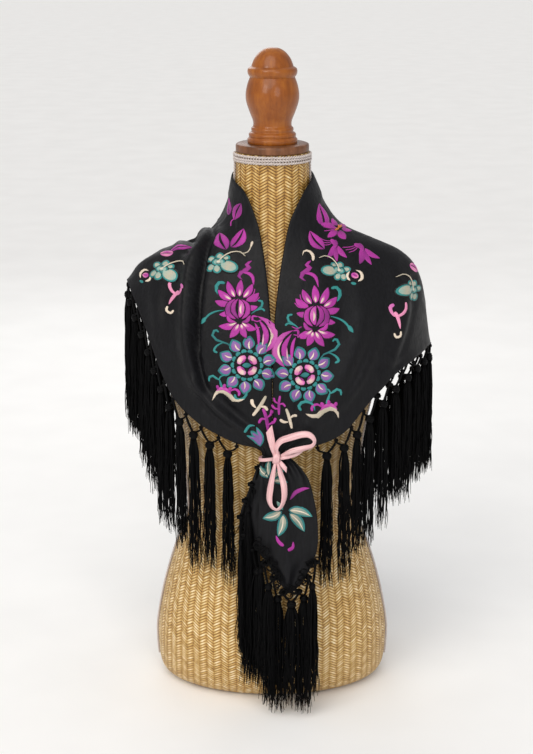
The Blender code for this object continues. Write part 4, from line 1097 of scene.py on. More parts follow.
def ribbon_wrap():
    """Ribbon drawn tight round both gathered ends, in three uneven pleats."""
    around, rows = 97, 21
    turn = np.linspace(0.0, tau, around)[:, None]
    share = np.linspace(0.0, 1.0, rows)[None, :]
    pleat = 0.0005 * np.sin(3 * pi * share + 0.4 * np.sin(turn)) ** 2
    grid = np.empty((around, rows, 3))
    grid[..., 0] = 0.0050 + np.sin(turn) * (0.0235 + pleat)
    grid[..., 1] = -0.1250 - np.cos(turn) * (0.0100 + pleat)
    grid[..., 2] = 0.3748 + 0.0050 * share + 0.0042 * np.sin(turn)
    outward = grid - [0.0050, -0.1250, 0.3775]
    item = sheet_piece("satin_wrap", grid, outward, 0.0004, SATIN, ["ribbon_wrap"])
    flat = np.stack([np.broadcast_to(turn * 14.0, pleat.shape), np.broadcast_to(share * 8.4, pleat.shape)],
                    axis=-1).reshape(-1, 2)
    set_uv(item, "ribbon", np.concatenate([flat, flat]))
    return item


def bow():
    """Wrap, knot, two loops and two ends of the ribbon."""
    ribbon_wrap()
    knot = [(0.0048, -0.1335, 0.3715), (0.0046, -0.1395, 0.3722), (0.0046, -0.1432, 0.3760),
            (0.0052, -0.1436, 0.3810), (0.0058, -0.1402, 0.3855), (0.0060, -0.1335, 0.3865)]
    ribbon("satin_knot", "ribbon_knot", knot,
           [(0, -0.4, -1), (0, -0.8, -0.6), (0, -1, -0.2), (0, -1, 0.2), (0, -0.6, 0.8),
            (0, -0.2, 1)],
           [0.0080, 0.0092, 0.0098, 0.0100, 0.0090, 0.0080], crown=0.0016)
    ribbon("satin_end_up", "ribbon_end_up",
           [(0.0030, -0.1400, 0.3840), (0.0008, -0.1430, 0.3950), (-0.0020, -0.1425, 0.4080),
            (-0.0046, -0.1405, 0.4215)],
           [(0.2, -1, 0), (0.15, -1, 0.1), (-0.1, -1, 0.15), (-0.3, -1, 0.2)],
           [0.0045, 0.0080, 0.0098, 0.0102], cut=0.0090)
    ribbon("satin_loop_right", "ribbon_loop_right",
           [(0.0070, -0.1400, 0.3850), (0.0050, -0.1440, 0.3960), (0.0110, -0.1455, 0.4060),
            (0.0250, -0.1462, 0.4115), (0.0400, -0.1465, 0.4155), (0.0500, -0.1470, 0.4145),
            (0.0560, -0.1478, 0.4075), (0.0530, -0.1480, 0.4000), (0.0420, -0.1482, 0.3965),
            (0.0260, -0.1478, 0.3925), (0.0120, -0.1405, 0.3830)],
           [(-0.6, -1, 0.1), (-0.8, -1, 0.4), (-0.3, -1, 0.8), (0, -1, 0.6), (0.1, -1, 0.5),
            (0.6, -1, 0.4), (1.0, -0.8, 0), (0.5, -1, -0.3), (0, -1, -0.2), (0, -1, 0.3),
            (0, -1, 0.2)],
           [0.0045, 0.0080, 0.0092, 0.0095, 0.0092, 0.0085, 0.0070, 0.0075, 0.0082, 0.0070,
            0.0045],
           crown=0.0016)
    ribbon("satin_loop_down", "ribbon_loop_down",
           [(0.0040, -0.1405, 0.3735), (0.0000, -0.1480, 0.3560), (-0.0030, -0.1525, 0.3400),
            (-0.0042, -0.1545, 0.3260), (-0.0010, -0.1560, 0.3165), (0.0060, -0.1566, 0.3125),
            (0.0125, -0.1560, 0.3180), (0.0160, -0.1548, 0.3300), (0.0152, -0.1520, 0.3460),
            (0.0110, -0.1470, 0.3600), (0.0072, -0.1405, 0.3730)],
           [(0, -1, 0), (-0.3, -1, 0.3), (-0.4, -1, 0.2), (-0.6, -1, 0), (-0.7, -0.8, -0.5),
            (0.1, -0.7, -0.9), (0.9, -0.8, -0.3), (0.6, -1, 0), (0.3, -1, 0.1),
            (0.2, -1, 0.2), (0, -1, 0)],
           [0.0040, 0.0070, 0.0088, 0.0090, 0.0085, 0.0080, 0.0085, 0.0090, 0.0088, 0.0070,
            0.0040],
           crown=0.0016)
    ribbon("satin_end_short", "ribbon_end_short",
           [(0.0090, -0.1400, 0.3760), (0.0140, -0.1455, 0.3710), (0.0190, -0.1480, 0.3655)],
           [(0, -1, 0), (0.2, -1, 0), (0.3, -1, 0.2)], [0.0045, 0.0062, 0.0050], cut=0.0050)
    ribbon("satin_strand", None,
           [(0.0068, -0.1395, 0.3790), (0.0140, -0.1425, 0.3808), (0.0230, -0.1440, 0.3830),
            (0.0330, -0.1435, 0.3868), (0.0400, -0.1395, 0.3900)],
           [(0, -1, 0.1), (0, -1, 0.3), (0.1, -1, 0.3), (0.2, -1, 0.1), (0.4, -1, 0)],
           [0.0040, 0.0044, 0.0042, 0.0048, 0.0040], crown=0.0005)


# Embroidery

# how a stroke of satin stitch swells from its start to its end: powers of the share from both ends
SWELLS = {"leaf": (0.75, 0.90), "petal": (0.60, 0.80), "round": (0.5, 0.5), "drop": (0.95, 0.40),
          "hook": (0.60, 0.24), "stem": (0.18, 0.18), "thorn": (0.25, 0.90)}
# across a stroke: share of its width, share of its height
SECTION = [(0.0, -0.5), (0.07, 0.50), (0.30, 0.93), (0.5, 1.0), (0.70, 0.93), (0.93, 0.50), (1.0, -0.5)]
STEPS = 11


class Needlework:
    """Raised satin stitch on one side of a cloth, gathered in one mesh with a floss colour at each point."""

    def __init__(self, cloth, back=False):
        self.tree = BVHTree.FromObject(cloth, bpy.context.evaluated_depsgraph_get())
        self.facing = 1.0 if back else -1.0
        self.points = []
        self.faces = []
        self.colours = []
        self.flat = []

    def place(self, x, z, turn=0.0, size=1.0, mirrored=False):
        """Centres the next motif on the cloth at x and z, turned anticlockwise in degrees."""
        way = Vector((0.0, -self.facing, 0.0))
        total = Vector()
        centre = None
        for dx, dz in ((0, 0), (0.008, 0), (-0.008, 0), (0, 0.008), (0, -0.008)):
            hit, normal, _, _ = self.tree.ray_cast(Vector((x + dx, self.facing, z + dz)), way)
            if hit is None:
                continue
            centre = centre or hit
            total += normal if normal.y * self.facing > 0 else -normal
        if centre is None:
            raise ValueError(f"no cloth at {x}, {z}")
        self.centre = centre
        self.normal = total.normalized()
        right = Vector((0.0, 0.0, 1.0)).cross(self.normal).normalized()
        up = self.normal.cross(right)
        right *= min(1.7, max(abs(self.normal.y), 0.2) ** -0.7)
        angle = radians(turn)
        self.along = (right * cos(angle) + up * sin(angle)) * size * (-1.0 if mirrored else 1.0) * MM
        self.up = (up * cos(angle) - right * sin(angle)) * size * MM
        self.size = size
        self.mirrored = mirrored

    def on_cloth(self, a, b, height):
        """Point over the cloth at a and b millimetres from the motif's centre."""
        point = self.centre + self.along * float(a) + self.up * float(b)
        hit, normal, _, _ = self.tree.ray_cast(point + self.normal * 0.025, -self.normal, 0.05)
        if hit is None:
            hit, normal, _, _ = self.tree.find_nearest(point)
        if normal.dot(self.normal) < 0:
            normal = -normal
        return hit + (normal + self.normal).normalized() * float(height)

    def stroke(self, spine, width, swell, threads, sides=(1.0, 1.0), lift=0.0, rise=0.65):
        """One run of satin stitch; widths and heights are in millimetres."""
        start, end = SWELLS[swell]
        share = 0.5 - 0.5 * np.cos(pi * np.linspace(0.012, 0.988, STEPS))
        line = smooth(np.array(spine, float), share)
        ahead = unit(np.gradient(line, axis=0))
        side = np.stack([-ahead[:, 1], ahead[:, 0]], axis=-1)
        peak = (start / (start + end)) ** start * (end / (start + end)) ** end
        half = 0.5 * width * share ** start * (1 - share) ** end / peak
        length = np.concatenate([[0.0], np.cumsum(np.linalg.norm(np.diff(line, axis=0), axis=-1))])
        tones = np.array([linear(FLOSS[thread])[:3] for thread in threads])
        if len(tones) == 1:
            tones = np.repeat(tones, 2, axis=0)
        first = len(self.points)
        brightness = RANDOM.uniform(0.90, 1.10)
        plump = rise * min(1.0, width / 4.0) ** 0.5
        for k in range(STEPS):
            for across, high in SECTION:
                offset = -sides[0] * half[k] + (sides[0] + sides[1]) * half[k] * across
                spot = line[k] + side[k] * offset
                height = (high * plump if high > 0 else -0.3) + lift
                self.points.append(self.on_cloth(spot[0], spot[1], height * MM))
                place = np.clip(share[k] + RANDOM.uniform(-0.07, 0.07), 0.0, 1.0) * (len(tones) - 1)
                tone = [np.interp(place, np.arange(len(tones)), tones[:, c]) * brightness for c in range(3)]
                self.colours.append((*tone, 1.0))
                self.flat.append((length[k], offset))
        ring = len(SECTION)
        for k in range(STEPS - 1):
            for m in range(ring):
                n = (m + 1) % ring
                face = (first + k * ring + m, first + (k + 1) * ring + m,
                        first + (k + 1) * ring + n, first + k * ring + n)
                self.faces.append(face if self.mirrored else face[::-1])
        for row, order in ((0, 1), (STEPS - 1, -1)):
            cap = [first + row * ring + m for m in range(ring)][::order]
            self.faces.append(cap if self.mirrored else cap[::-1])

    def done(self, name):
        item = piece(name, np.array([tuple(p) for p in self.points]), self.faces, STITCHES)
        layer = item.data.color_attributes.new("floss", "FLOAT_COLOR", "POINT")
        layer.data.foreach_set("color", np.array(self.colours).ravel())
        set_uv(item, "stitch", self.flat)
        return item


def toward(x, y, angle, reach):
    return (x + reach * cos(radians(angle)), y + reach * sin(radians(angle)))


def blade(pen, x, y, angle, length, width, swell, threads, bend=0.0, sides=(1.0, 1.0), lift=0.0):
    """A petal or leaf from its base, bent to its left by a share of its length."""
    middle = toward(*toward(x, y, angle, length * 0.5), angle + 90, length * bend)
    pen.stroke([(x, y), middle, toward(x, y, angle, length)], width, swell, threads, sides, lift)


def split_leaf(pen, x, y, angle, length, width, threads, bend=0.06):
    """A leaf in two halves with the cloth showing between them."""
    blade(pen, x, y, angle, length, width, "leaf", threads, bend, (1.0, -0.13))
    blade(pen, x, y, angle, length, width, "leaf", threads, bend, (-0.13, 1.0))


def petal(pen, x, y, angle, length, width, bend=0.0, streak=0.0, lift=0.0, threads=("magenta", "magenta")):
    """A petal with a black edge, as if bare cloth parted it from the next, and a cream streak."""
    blade(pen, *toward(x, y, angle, -0.9), angle, length + 2.0, width + 2.3, "petal", ("black",), bend,
          lift=lift - 0.12)
    blade(pen, x, y, angle, length, width, "petal", threads, bend, lift=lift + 0.1)
    if streak:
        blade(pen, *toward(x, y, angle, 0.8), angle, length * streak, width * 0.34, "leaf",
              ("cream", "cream", "rose", "magenta"), bend - 0.03, lift=lift + 0.45)


def edged(pen, spine, width, swell, threads, lift=0.0):
    """A stroke with the same black edge round it."""
    pen.stroke(spine, width + 2.2, swell, ("black",), lift=lift - 0.12)
    pen.stroke(spine, width, swell, threads, lift=lift + 0.1)


def leaf(pen):
    split_leaf(pen, 0, -15, 92, 30, 16.5, ("plum", "magenta", "magenta"))


def leaf_pair(pen):
    """Two leaves, one lower than the other, on a thin stalk."""
    split_leaf(pen, 5, -16, 82, 27, 15, ("magenta", "plum"))
    split_leaf(pen, -6, -13, 112, 25, 13, ("plum", "magenta"))
    pen.stroke([(4, -15), (2, -20), (5, -26)], 1.6, "stem", ("magenta",))


def bell(pen):
    """Hanging bell flower: a calyx, three narrow petals and stamens."""
    blade(pen, -3, 15, -58, 13, 8, "petal", ("magenta", "plum"))
    blade(pen, 3, 14, -100, 14, 7.5, "petal", ("plum", "magenta"))
    blade(pen, -1, 4, -118, 22, 8, "leaf", ("magenta", "plum"), 0.10)
    blade(pen, 2, 3, -92, 24, 7, "leaf", ("plum", "magenta"), -0.04)
    blade(pen, 5, 4, -66, 22, 8, "leaf", ("magenta", "magenta"), -0.10)
    for k in range(3):
        blade(pen, -3, 12 - 2 * k, 168 + 13 * k, 15 - k, 1.4, "stem", ("magenta",), 0.12)


def blossom(pen):
    """Open magenta flower with an orange heart."""
    for k in range(6):
        angle = 60 * k + 22
        x, y = toward(0, 0, angle, 4.2)
        length = (16, 13, 17, 14, 16, 12)[k]
        petal(pen, x, y, angle, length, 9.6, 0.06 if k % 2 else -0.05, threads=("plum", "magenta", "magenta"))
    for angle, length in ((30, 9), (62, 6), (195, 8)):
        blade(pen, 1, 0, angle, length, 3.0, "leaf", ("orange", "orange"), lift=0.9)
    for angle in (128, 150, 172):
        blade(pen, -2, 1, angle, 15, 1.3, "stem", ("magenta",), 0.1, lift=0.4)


def rosette(pen):
    """Round flower: lavender petals with teal rims and cream ribs, a ring of beads and a quartered heart."""
    for k in range(10):
        angle = 36 * k + 12
        blade(pen, *toward(0, 0, angle, 22.2), angle, 19.4, 18.6, "leaf", ("teal", "teal", "deep_teal"), 0.05)
        blade(pen, *toward(0, 0, angle, 22.6), angle, 16.2, 13.6, "leaf", ("lavender", "orchid", "lavender"),
              0.05, lift=0.45)
        blade(pen, *toward(0, 0, angle - 4, 23.0), angle + 8, 11.5, 2.4, "leaf", ("cream",), 0.12, lift=1.05)
    for k in range(14):
        angle = 360 / 14 * k
        bead = [toward(0, 0, angle - 11.2, 18.9), toward(0, 0, angle, 20.4), toward(0, 0, angle + 11.2, 18.9)]
        pen.stroke(bead, 5.2, "round", ("teal", "teal"), lift=0.35)
    for k in range(4):
        angle = 90 * k + 45
        block = [toward(0, 0, angle - 37, 11.6), toward(0, 0, angle, 12.2), toward(0, 0, angle + 37, 11.6)]
        pen.stroke(block, 7.6, "stem", ("rose", "pink", "cream", "rose"), lift=0.1)
        shade = [toward(0, 0, angle - 30, 8.2), toward(0, 0, angle, 7.2), toward(0, 0, angle + 30, 8.2)]
        pen.stroke(shade, 2.6, "leaf", ("magenta", "plum"), lift=0.75)
    blade(pen, -6.4, 0, 0, 12.8, 7.4, "leaf", ("teal", "deep_teal"), lift=0.3)


def lotus(pen):
    """Many petalled flower seen from the side: a closed heart among open petals."""
    for angle, length, width, bend, streak, lift in [
            (31, 20, 10.5, -0.10, 0.0, 0.0), (168, 20, 10.5, 0.10, 0.0, 0.0),
            (57, 23, 10.5, -0.06, 0.66, 0.35), (141, 23, 11.0, 0.08, 0.62, 0.35),
            (84, 24, 11.0, 0.03, 0.50, 0.0), (113, 25, 11.0, 0.06, 0.56, 0.7)]:
        petal(pen, *toward(0, 6, angle, 12.5), angle, length, width, bend, streak, lift)
    petal(pen, 10, 2, 4, 16, 9, -0.08, lift=0.3)
    petal(pen, -11, -3, 194, 16, 9, 0.10, lift=0.3)
    petal(pen, -3, -19, 190, 25, 11.5, 0.12, 0.62, 0.2)
    petal(pen, 4, -19, 332, 22, 11.5, -0.10, 0.56, 0.2)
    petal(pen, 3, -21, 288, 21, 11.5, -0.04, 0.40, 0.6)
    petal(pen, 0, -21, 236, 23, 11.5, 0.06, 0.52, 0.9)
    edged(pen, [(-4, -14), (-14, -6), (-13, 7), (-4, 15)], 7.6, "leaf", ("magenta", "plum", "magenta"), 0.9)
    edged(pen, [(4, -14), (12, -6), (12, 6), (4, 14)], 7.2, "leaf", ("magenta", "magenta"), 0.9)
    edged(pen, [(0, -14), (-7, -3), (-6, 8), (0, 15)], 7.0, "leaf", ("plum", "magenta"), 1.25)
    edged(pen, [(1, -12), (4, -3), (4, 7), (1, 14)], 9.2, "petal", ("magenta", "rose", "magenta"), 1.6)
    blade(pen, 3.4, -7, 84, 16, 3.0, "leaf", ("cream", "cream", "rose"), 0.10, lift=2.2)
    edged(pen, [(-16, -8), (-12, -16), (-4, -18)], 6.0, "leaf", ("magenta",), 1.1)
    edged(pen, [(16, -9), (11, -17), (4, -18)], 6.0, "leaf", ("magenta", "plum"), 1.1)
    for x, y, angle, length in ((13, 17, 52, 15), (15, 11, 24, 15), (18, -15, -2, 13), (15, -22, -18, 14)):
        blade(pen, x, y, angle, length, 1.8, "stem", ("magenta",), -0.20)


def paisley(pen):
    """Curled leaf: two magenta bodies with a cream streak and cloth between them."""
    pen.stroke([(1, -26), (12, -15), (15, 1), (7, 16), (-7, 25)], 9.8, "leaf", ("magenta", "rose", "magenta"))
    pen.stroke([(4, -20), (10, -10), (11, 1), (6, 11)], 3.2, "leaf", ("cream", "cream", "rose"), lift=0.6)
    pen.stroke([(-3, -22), (2, -10), (3, 4), (-5, 20)], 8.6, "leaf", ("plum", "magenta", "magenta"))
    pen.stroke([(-3, -17), (-1, -8), (0, 2)], 2.4, "leaf", ("cream", "rose"), lift=0.6)
    pen.stroke([(-8, -17), (-7, -4), (-8, 8), (-11, 16)], 5.0, "leaf", ("magenta",))
    pen.stroke([(-6, 24), (-13, 25), (-14, 19)], 3.6, "hook", ("magenta",))


def ring(pen, x, y, radius, width, threads, lift=0.0):
    """Full circle of satin stitch."""
    for half in (0, 180):
        spine = [toward(x, y, half + angle, radius) for angle in (-6, 30, 60, 90, 120, 150, 186)]
        pen.stroke(spine, width, "stem", threads, lift=lift)


def lobe(pen, x, y, angle, length, width, threads, lift=0.0):
    """Rounded lobe with a teal rim and a black edge."""
    blade(pen, *toward(x, y, angle, -1.0), angle, length + 2.0, width + 2.0, "round", ("black",),
          lift=lift - 0.12)
    blade(pen, x, y, angle, length, width, "round", ("teal", "teal"), lift=lift + 0.08)
    blade(pen, *toward(x, y, angle, 1.2), angle, length - 3.6, width - 4.4, "round", threads,
          lift=lift + 0.42)


def cloud(pen):
    """Rounded cloud: lobes with teal rims, the largest on one side, a ringed eye and a cream stem."""
    for x, y, angle, length, width, lift in [
            (-6, -2, 232, 13, 12, 0.0), (-5, 3, 150, 12, 11, 0.0), (0, 3, 88, 12, 12, 0.3),
            (3, 3, 34, 11, 10, 0.0), (-3, -3, 272, 13, 12, 0.35)]:
        lobe(pen, x, y, angle, length, width, ("pale_teal", "beige"), lift)
    lobe(pen, 1, -1, -24, 23, 19, ("pale_teal", "beige", "pale_teal"), 0.7)
    blade(pen, -10, 0.5, 0, 18, 14.6, "round", ("black",), lift=0.95)
    blade(pen, -9, 0.5, 0, 16, 12.6, "round", ("teal",), lift=1.15)
    blade(pen, -7, 0.6, 0, 12, 8.6, "round", ("pale_teal",), lift=1.5)
    ring(pen, -1, 0.6, 3.4, 1.2, ("black", "black"), 1.7)
    blade(pen, -3.0, 0.6, 0, 4.0, 3.2, "round", ("cream",), lift=1.85)
    pen.stroke([(-1, 1), (5, 9), (14, 15), (24, 15), (31, 8)], 1.7, "stem", ("cream", "beige"), lift=1.9)


def bud(pen):
    """Small pink bud between two cream sepals."""
    blade(pen, -4.5, 0, 0, 9, 8, "round", ("pink", "magenta"), lift=0.2)
    blade(pen, -3.0, 0, 0, 6, 3, "round", ("magenta",), lift=0.8)
    pen.stroke([(-7, -5), (-9, 2), (-4, 8), (3, 7)], 4.2, "leaf", ("cream",))
    pen.stroke([(1, -9), (7, -6), (8, 2)], 3.8, "leaf", ("cream",))
    blade(pen, -7, -9, -20, 6, 4.2, "round", ("teal",))


def closed_bud(pen):
    """Plump pink bud in two halves."""
    blade(pen, -9, 0, 0, 19, 14, "round", ("rose", "pink", "rose"), sides=(1.0, -0.10))
    blade(pen, -9, 0, 0, 19, 14, "round", ("pink", "magenta", "pink"), sides=(-0.10, 1.0))


def hook(pen):
    """Teal tendril with a curled, thickened end."""
    pen.stroke([(12, -10), (4, -11), (-3, -6), (-6, 2), (-2, 9), (5, 8)], 5.0, "hook", ("teal", "teal"))


def curls(pen):
    """Two teal tendrils from one stem."""
    pen.stroke([(16, -15), (11, -6), (2, -3), (-7, 0), (-13, 7), (-9, 14), (-4, 11)], 3.9, "hook",
               ("deep_teal", "teal"))
    pen.stroke([(3, -3), (-6, -8), (-10, -15), (-5, -18)], 3.6, "hook", ("teal",))


def fork_curl(pen):
    """Teal tendril that forks."""
    pen.stroke([(9, 10), (1, 8), (-3, 2), (-9, 8), (-16, 6), (-17, -1)], 4.0, "hook", ("teal",))
    pen.stroke([(-1, 4), (1, -4), (4, -12)], 4.2, "hook", ("teal",))


def sprout(pen):
    """Small teal shoot."""
    pen.stroke([(8, -12), (3, -5), (-3, 2), (-2, 9), (4, 9)], 3.6, "hook", ("teal",))
    pen.stroke([(3, -6), (-4, -1), (-9, -3)], 3.0, "hook", ("teal",))


def stem_leaf(pen):
    """Teal stalk that ends in a pointed leaf."""
    pen.stroke([(17, 7), (5, 6), (-5, 2), (-12, -5)], 3.2, "hook", ("teal",))
    blade(pen, -9, -1, -132, 12, 6, "leaf", ("teal",))


def ribbon_scroll(pen):
    """Magenta band that swells, doubles back and ends in a thin tail."""
    pen.stroke([(7, 19), (1, 14), (4, 8), (-4, 4), (-8, -3), (-3, -8)], 6.8, "leaf", ("magenta", "plum"))
    pen.stroke([(-3, 2), (4, 1), (9, -5), (10, -18)], 5.0, "leaf", ("magenta",))


def cream_hook(pen):
    pen.stroke([(-8, 0), (-6, 7), (1, 7), (5, 1), (5, -6)], 4.2, "drop", ("cream", "cream"))


def cream_stem(pen):
    """Cream bead on a thin thread."""
    pen.stroke([(-13, -2), (-6, -4), (1, 0), (3, 8), (2, 14)], 1.7, "stem", ("beige", "cream"))
    blade(pen, 3, 6, 88, 12, 3.8, "drop", ("cream",), lift=0.2)


def fork(pen):
    """Pink forked twig with a cream foot."""
    pen.stroke([(-4, -18), (-2, -10), (2, -1), (6, 3)], 5.4, "hook", ("pink",))
    pen.stroke([(1, -2), (-6, 2), (-10, 9), (-9, 17)], 4.4, "stem", ("pink", "pink"))
    pen.stroke([(4, -3), (9, 2), (12, 9), (7, 13)], 5.6, "hook", ("pink", "rose"))
    pen.stroke([(-5, -21), (-5, -27), (1, -29), (4, -24)], 3.6, "stem", ("cream",))


def twig(pen):
    """Forked cream twig with short side shoots."""
    pen.stroke([(-10, -13), (-3, -4), (4, 6), (9, 15)], 5.4, "stem", ("cream", "beige"))
    pen.stroke([(-5, -2), (-10, 4), (-11, 11)], 5.2, "hook", ("cream",))
    pen.stroke([(0, 0), (7, -1), (11, -6)], 4.6, "hook", ("cream",))


def berry_twig(pen):
    """Forked magenta twig."""
    pen.stroke([(-2, -17), (0, -5), (2, 6), (6, 17)], 5.4, "stem", ("magenta", "plum", "magenta"))
    pen.stroke([(0, -7), (-8, -4), (-12, 3)], 4.8, "hook", ("magenta",))
    pen.stroke([(1, 3), (-5, 8), (-6, 15)], 4.2, "hook", ("magenta",))
    pen.stroke([(1, 1), (8, 2), (12, -4)], 4.4, "hook", ("magenta",))


def scroll(pen):
    """Cream scroll with a magenta crest."""
    pen.stroke([(-22, -12), (-19, 0), (-10, 5), (0, 2), (9, -5), (18, -3), (24, 0)], 8.4, "leaf",
               ("cream", "beige", "cream"), rise=0.8)
    pen.stroke([(-20, 2), (-12, 9), (-3, 8), (4, 3)], 6.4, "leaf", ("rose", "magenta"), lift=0.2)
    for x, y, angle in ((-17, 6, 112), (-9, 10, 84), (-1, 8, 66)):
        blade(pen, x, y, angle, 7, 5.4, "round", ("magenta",), lift=0.3)
    pen.stroke([(0, 6), (7, 12), (14, 9), (15, 3)], 4.4, "hook", ("magenta",))


def fan(pen):
    """Lavender and teal petals side by side."""
    for k in range(3):
        blade(pen, 7, -15, 108 + 17 * k, 29 - 2 * k, 9.5, "petal", ("teal", "teal"), -0.14)
        blade(pen, 7, -13, 108 + 17 * k, 24 - 2 * k, 5.2, "petal", ("lavender", "orchid"), -0.14, lift=0.5)
    pen.stroke([(-4, 14), (-12, 12), (-16, 5)], 4.4, "hook", ("teal",))


def spray(pen):
    """Four broad leaves with teal rims, beige fields and cream ribs."""
    for x, y, angle, length in [(-3, 0, 205, 27), (-1, -4, 256, 32), (7, -3, 306, 34), (6, 1, 342, 33)]:
        blade(pen, x, y, angle, length, 14.5, "leaf", ("deep_teal", "teal"), 0.07)
        blade(pen, *toward(x, y, angle, 2.0), angle, length - 5, 9.6, "leaf", ("beige", "sage", "sage"),
              0.08, lift=0.45)
        blade(pen, *toward(x, y, angle, 2.5), angle, length - 4, 1.9, "leaf", ("cream",), 0.08, lift=1.0)
    blade(pen, -2, 2, 122, 14, 6, "leaf", ("teal", "pale_teal"))


def tendril(pen):
    """Magenta sickle."""
    pen.stroke([(-13, -8), (-5, 1), (5, 5), (15, 6)], 6.0, "leaf", ("plum", "magenta"))


def drops(pen):
    """Two short magenta curls."""
    pen.stroke([(-12, 12), (-9, 4), (-3, -2)], 5.2, "hook", ("magenta",))
    pen.stroke([(11, 2), (10, -6), (3, -9)], 5.6, "hook", ("magenta",))


# Each row is a motif, its x and z as seen from the front, its turn in degrees, its size and whether it is
# mirrored. The motifs of the front and the tail lie where the photo has their like; the back is made up.
LEFT_MOTIFS = [
    (leaf_pair, -0.052, 0.700, -6, 0.92, False),
    (leaf, -0.067, 0.660, 26, 1.00, False),
    (leaf, -0.047, 0.664, -14, 0.98, True),
    (leaf, -0.126, 0.643, -52, 0.72, False),
    (closed_bud, -0.146, 0.634, 28, 0.80, False),
    (cloud, -0.150, 0.615, 0, 1.00, False),
    (bud, -0.175, 0.604, 10, 0.95, False),
    (fork, -0.132, 0.590, 0, 0.98, False),
    (cloud, -0.071, 0.634, 4, 0.98, False),
    (cream_stem, -0.034, 0.648, -12, 0.85, False),
    (ribbon_scroll, -0.036, 0.621, 0, 1.00, False),
    (hook, -0.069, 0.602, 0, 1.00, False),
    (lotus, -0.045, 0.577, 4, 0.94, False),
    (stem_leaf, -0.080, 0.568, 6, 0.95, False),
    (sprout, -0.018, 0.580, -14, 0.95, True),
    (paisley, -0.012, 0.547, 4, 0.95, False),
    (curls, -0.068, 0.537, 0, 0.95, False),
    (rosette, -0.034, 0.505, 0, 0.96, False),
    (fork_curl, -0.070, 0.482, 0, 0.90, False),
    (hook, -0.042, 0.464, 110, 0.90, False),
    (scroll, -0.059, 0.463, -10, 0.88, False),
    (twig, -0.017, 0.449, 0, 0.95, False),
    (berry_twig, -0.007, 0.430, 0, 0.95, True),
    (fan, -0.022, 0.408, -8, 0.95, False),
]
RIGHT_MOTIFS = [
    (leaf, 0.066, 0.690, -6, 1.12, True),
    (leaf, 0.060, 0.661, 24, 1.00, False),
    (blossom, 0.090, 0.671, 0, 1.00, False),
    (bell, 0.084, 0.649, -6, 0.92, False),
    (bell, 0.123, 0.642, 8, 1.00, False),
    (cream_hook, 0.049, 0.642, -12, 1.00, False),
    (cloud, 0.088, 0.622, -28, 0.88, True),
    (bud, 0.111, 0.615, -40, 1.05, True),
    (ribbon_scroll, 0.047, 0.620, 4, 1.05, False),
    (hook, 0.085, 0.594, 0, 1.00, True),
    (lotus, 0.058, 0.568, -6, 0.98, True),
    (stem_leaf, 0.092, 0.556, -14, 1.00, True),
    (sprout, 0.025, 0.562, 14, 1.00, False),
    (paisley, 0.019, 0.528, -4, 0.98, True),
    (curls, 0.077, 0.523, 0, 1.00, True),
    (rosette, 0.043, 0.492, 8, 0.96, True),
    (fork_curl, 0.076, 0.464, 0, 0.95, True),
    (hook, 0.044, 0.450, 110, 0.95, True),
    (scroll, 0.068, 0.441, 4, 0.96, True),
    (twig, 0.023, 0.432, 50, 0.85, False),
    (berry_twig, 0.008, 0.450, 10, 0.75, False),
    (fork, 0.172, 0.558, -10, 1.05, True),
    (cloud, 0.192, 0.586, -40, 0.90, True),
    (closed_bud, 0.198, 0.612, -48, 0.90, True),
]
TAIL_MOTIFS = [
    (spray, -0.002, 0.350, 150, 0.70, False),
    (tendril, 0.036, 0.331, 8, 1.00, False),
    (spray, 0.016, 0.308, 0, 1.00, False),
    (drops, 0.018, 0.262, 0, 1.00, False),
]
BACK_MOTIFS = [
    (rosette, 0.000, 0.420, 0, 1.05, False),
    (spray, 0.000, 0.352, 0, 0.95, False),
]
for side in (-1, 1):
    BACK_MOTIFS += [
        (lotus, side * 0.052, 0.590, side * -4, 1.00, side > 0),
        (rosette, side * 0.062, 0.510, 0, 0.92, side > 0),
        (leaf, side * 0.038, 0.690, side * -20, 0.95, side > 0),
        (leaf, side * 0.056, 0.668, side * -60, 0.95, side < 0),
        (blossom, side * 0.095, 0.640, 0, 0.95, side > 0),
        (cloud, side * 0.122, 0.590, 0, 0.95, side > 0),
        (bud, side * 0.146, 0.578, 0, 0.95, side > 0),
        (fork, side * 0.120, 0.552, 0, 1.00, side > 0),
        (paisley, side * 0.018, 0.530, side * 8, 0.95, side < 0),
        (hook, side * 0.106, 0.500, 0, 1.00, side > 0),
        (scroll, side * 0.078, 0.458, side * 12, 0.92, side > 0),
        (curls, side * 0.036, 0.462, side * 40, 0.95, side > 0),
        (stem_leaf, side * 0.040, 0.382, side * 30, 1.00, side > 0),
        (sprout, side * 0.022, 0.318, 0, 0.95, side > 0),
        (berry_twig, side * 0.014, 0.635, 0, 0.95, side > 0),
    ]


def embroider(name, cloth, motifs, back=False):
    pen = Needlework(cloth, back)
    for motif, x, z, turn, size, mirrored in motifs:
        pen.place(x, z, turn, size, mirrored)
        motif(pen)
    return pen.done(name)


# The pieces

body = straw_body()
neck_braid()
side_braid("side_gimp_right", "form_braid_right", 1.0)
side_braid("side_gimp_left", "form_braid_left", -1.0)
wooden_parts()

grid, marks = shawl_grid()
outward = grid * [1.0, 1.0, 0.0]
cloth = sheet_piece("shawl_cloth", grid, outward, SILK_THICKNESS, SILK, ["shawl_body"])
hem_normal = grid_normals(grid, outward)[:, -1]
hem = hem_cord("shawl_hem", grid[:, -1] - hem_normal * 0.0006, 0.0008, SILK, "black_silk")

solid_outer = grid[::FINE, -1]
solid_inner = solid_outer - hem_normal[::FINE] * CLOTH_THICKNESS
edge_line = (solid_outer + solid_inner) / 2
edge_line[:, 2] = np.minimum(solid_outer[:, 2], solid_inner[:, 2])
for name, (first, last, start_length, end_length) in marks.items():
    Fringe(name, edge_line[first:last + 1], start_length, end_length).item

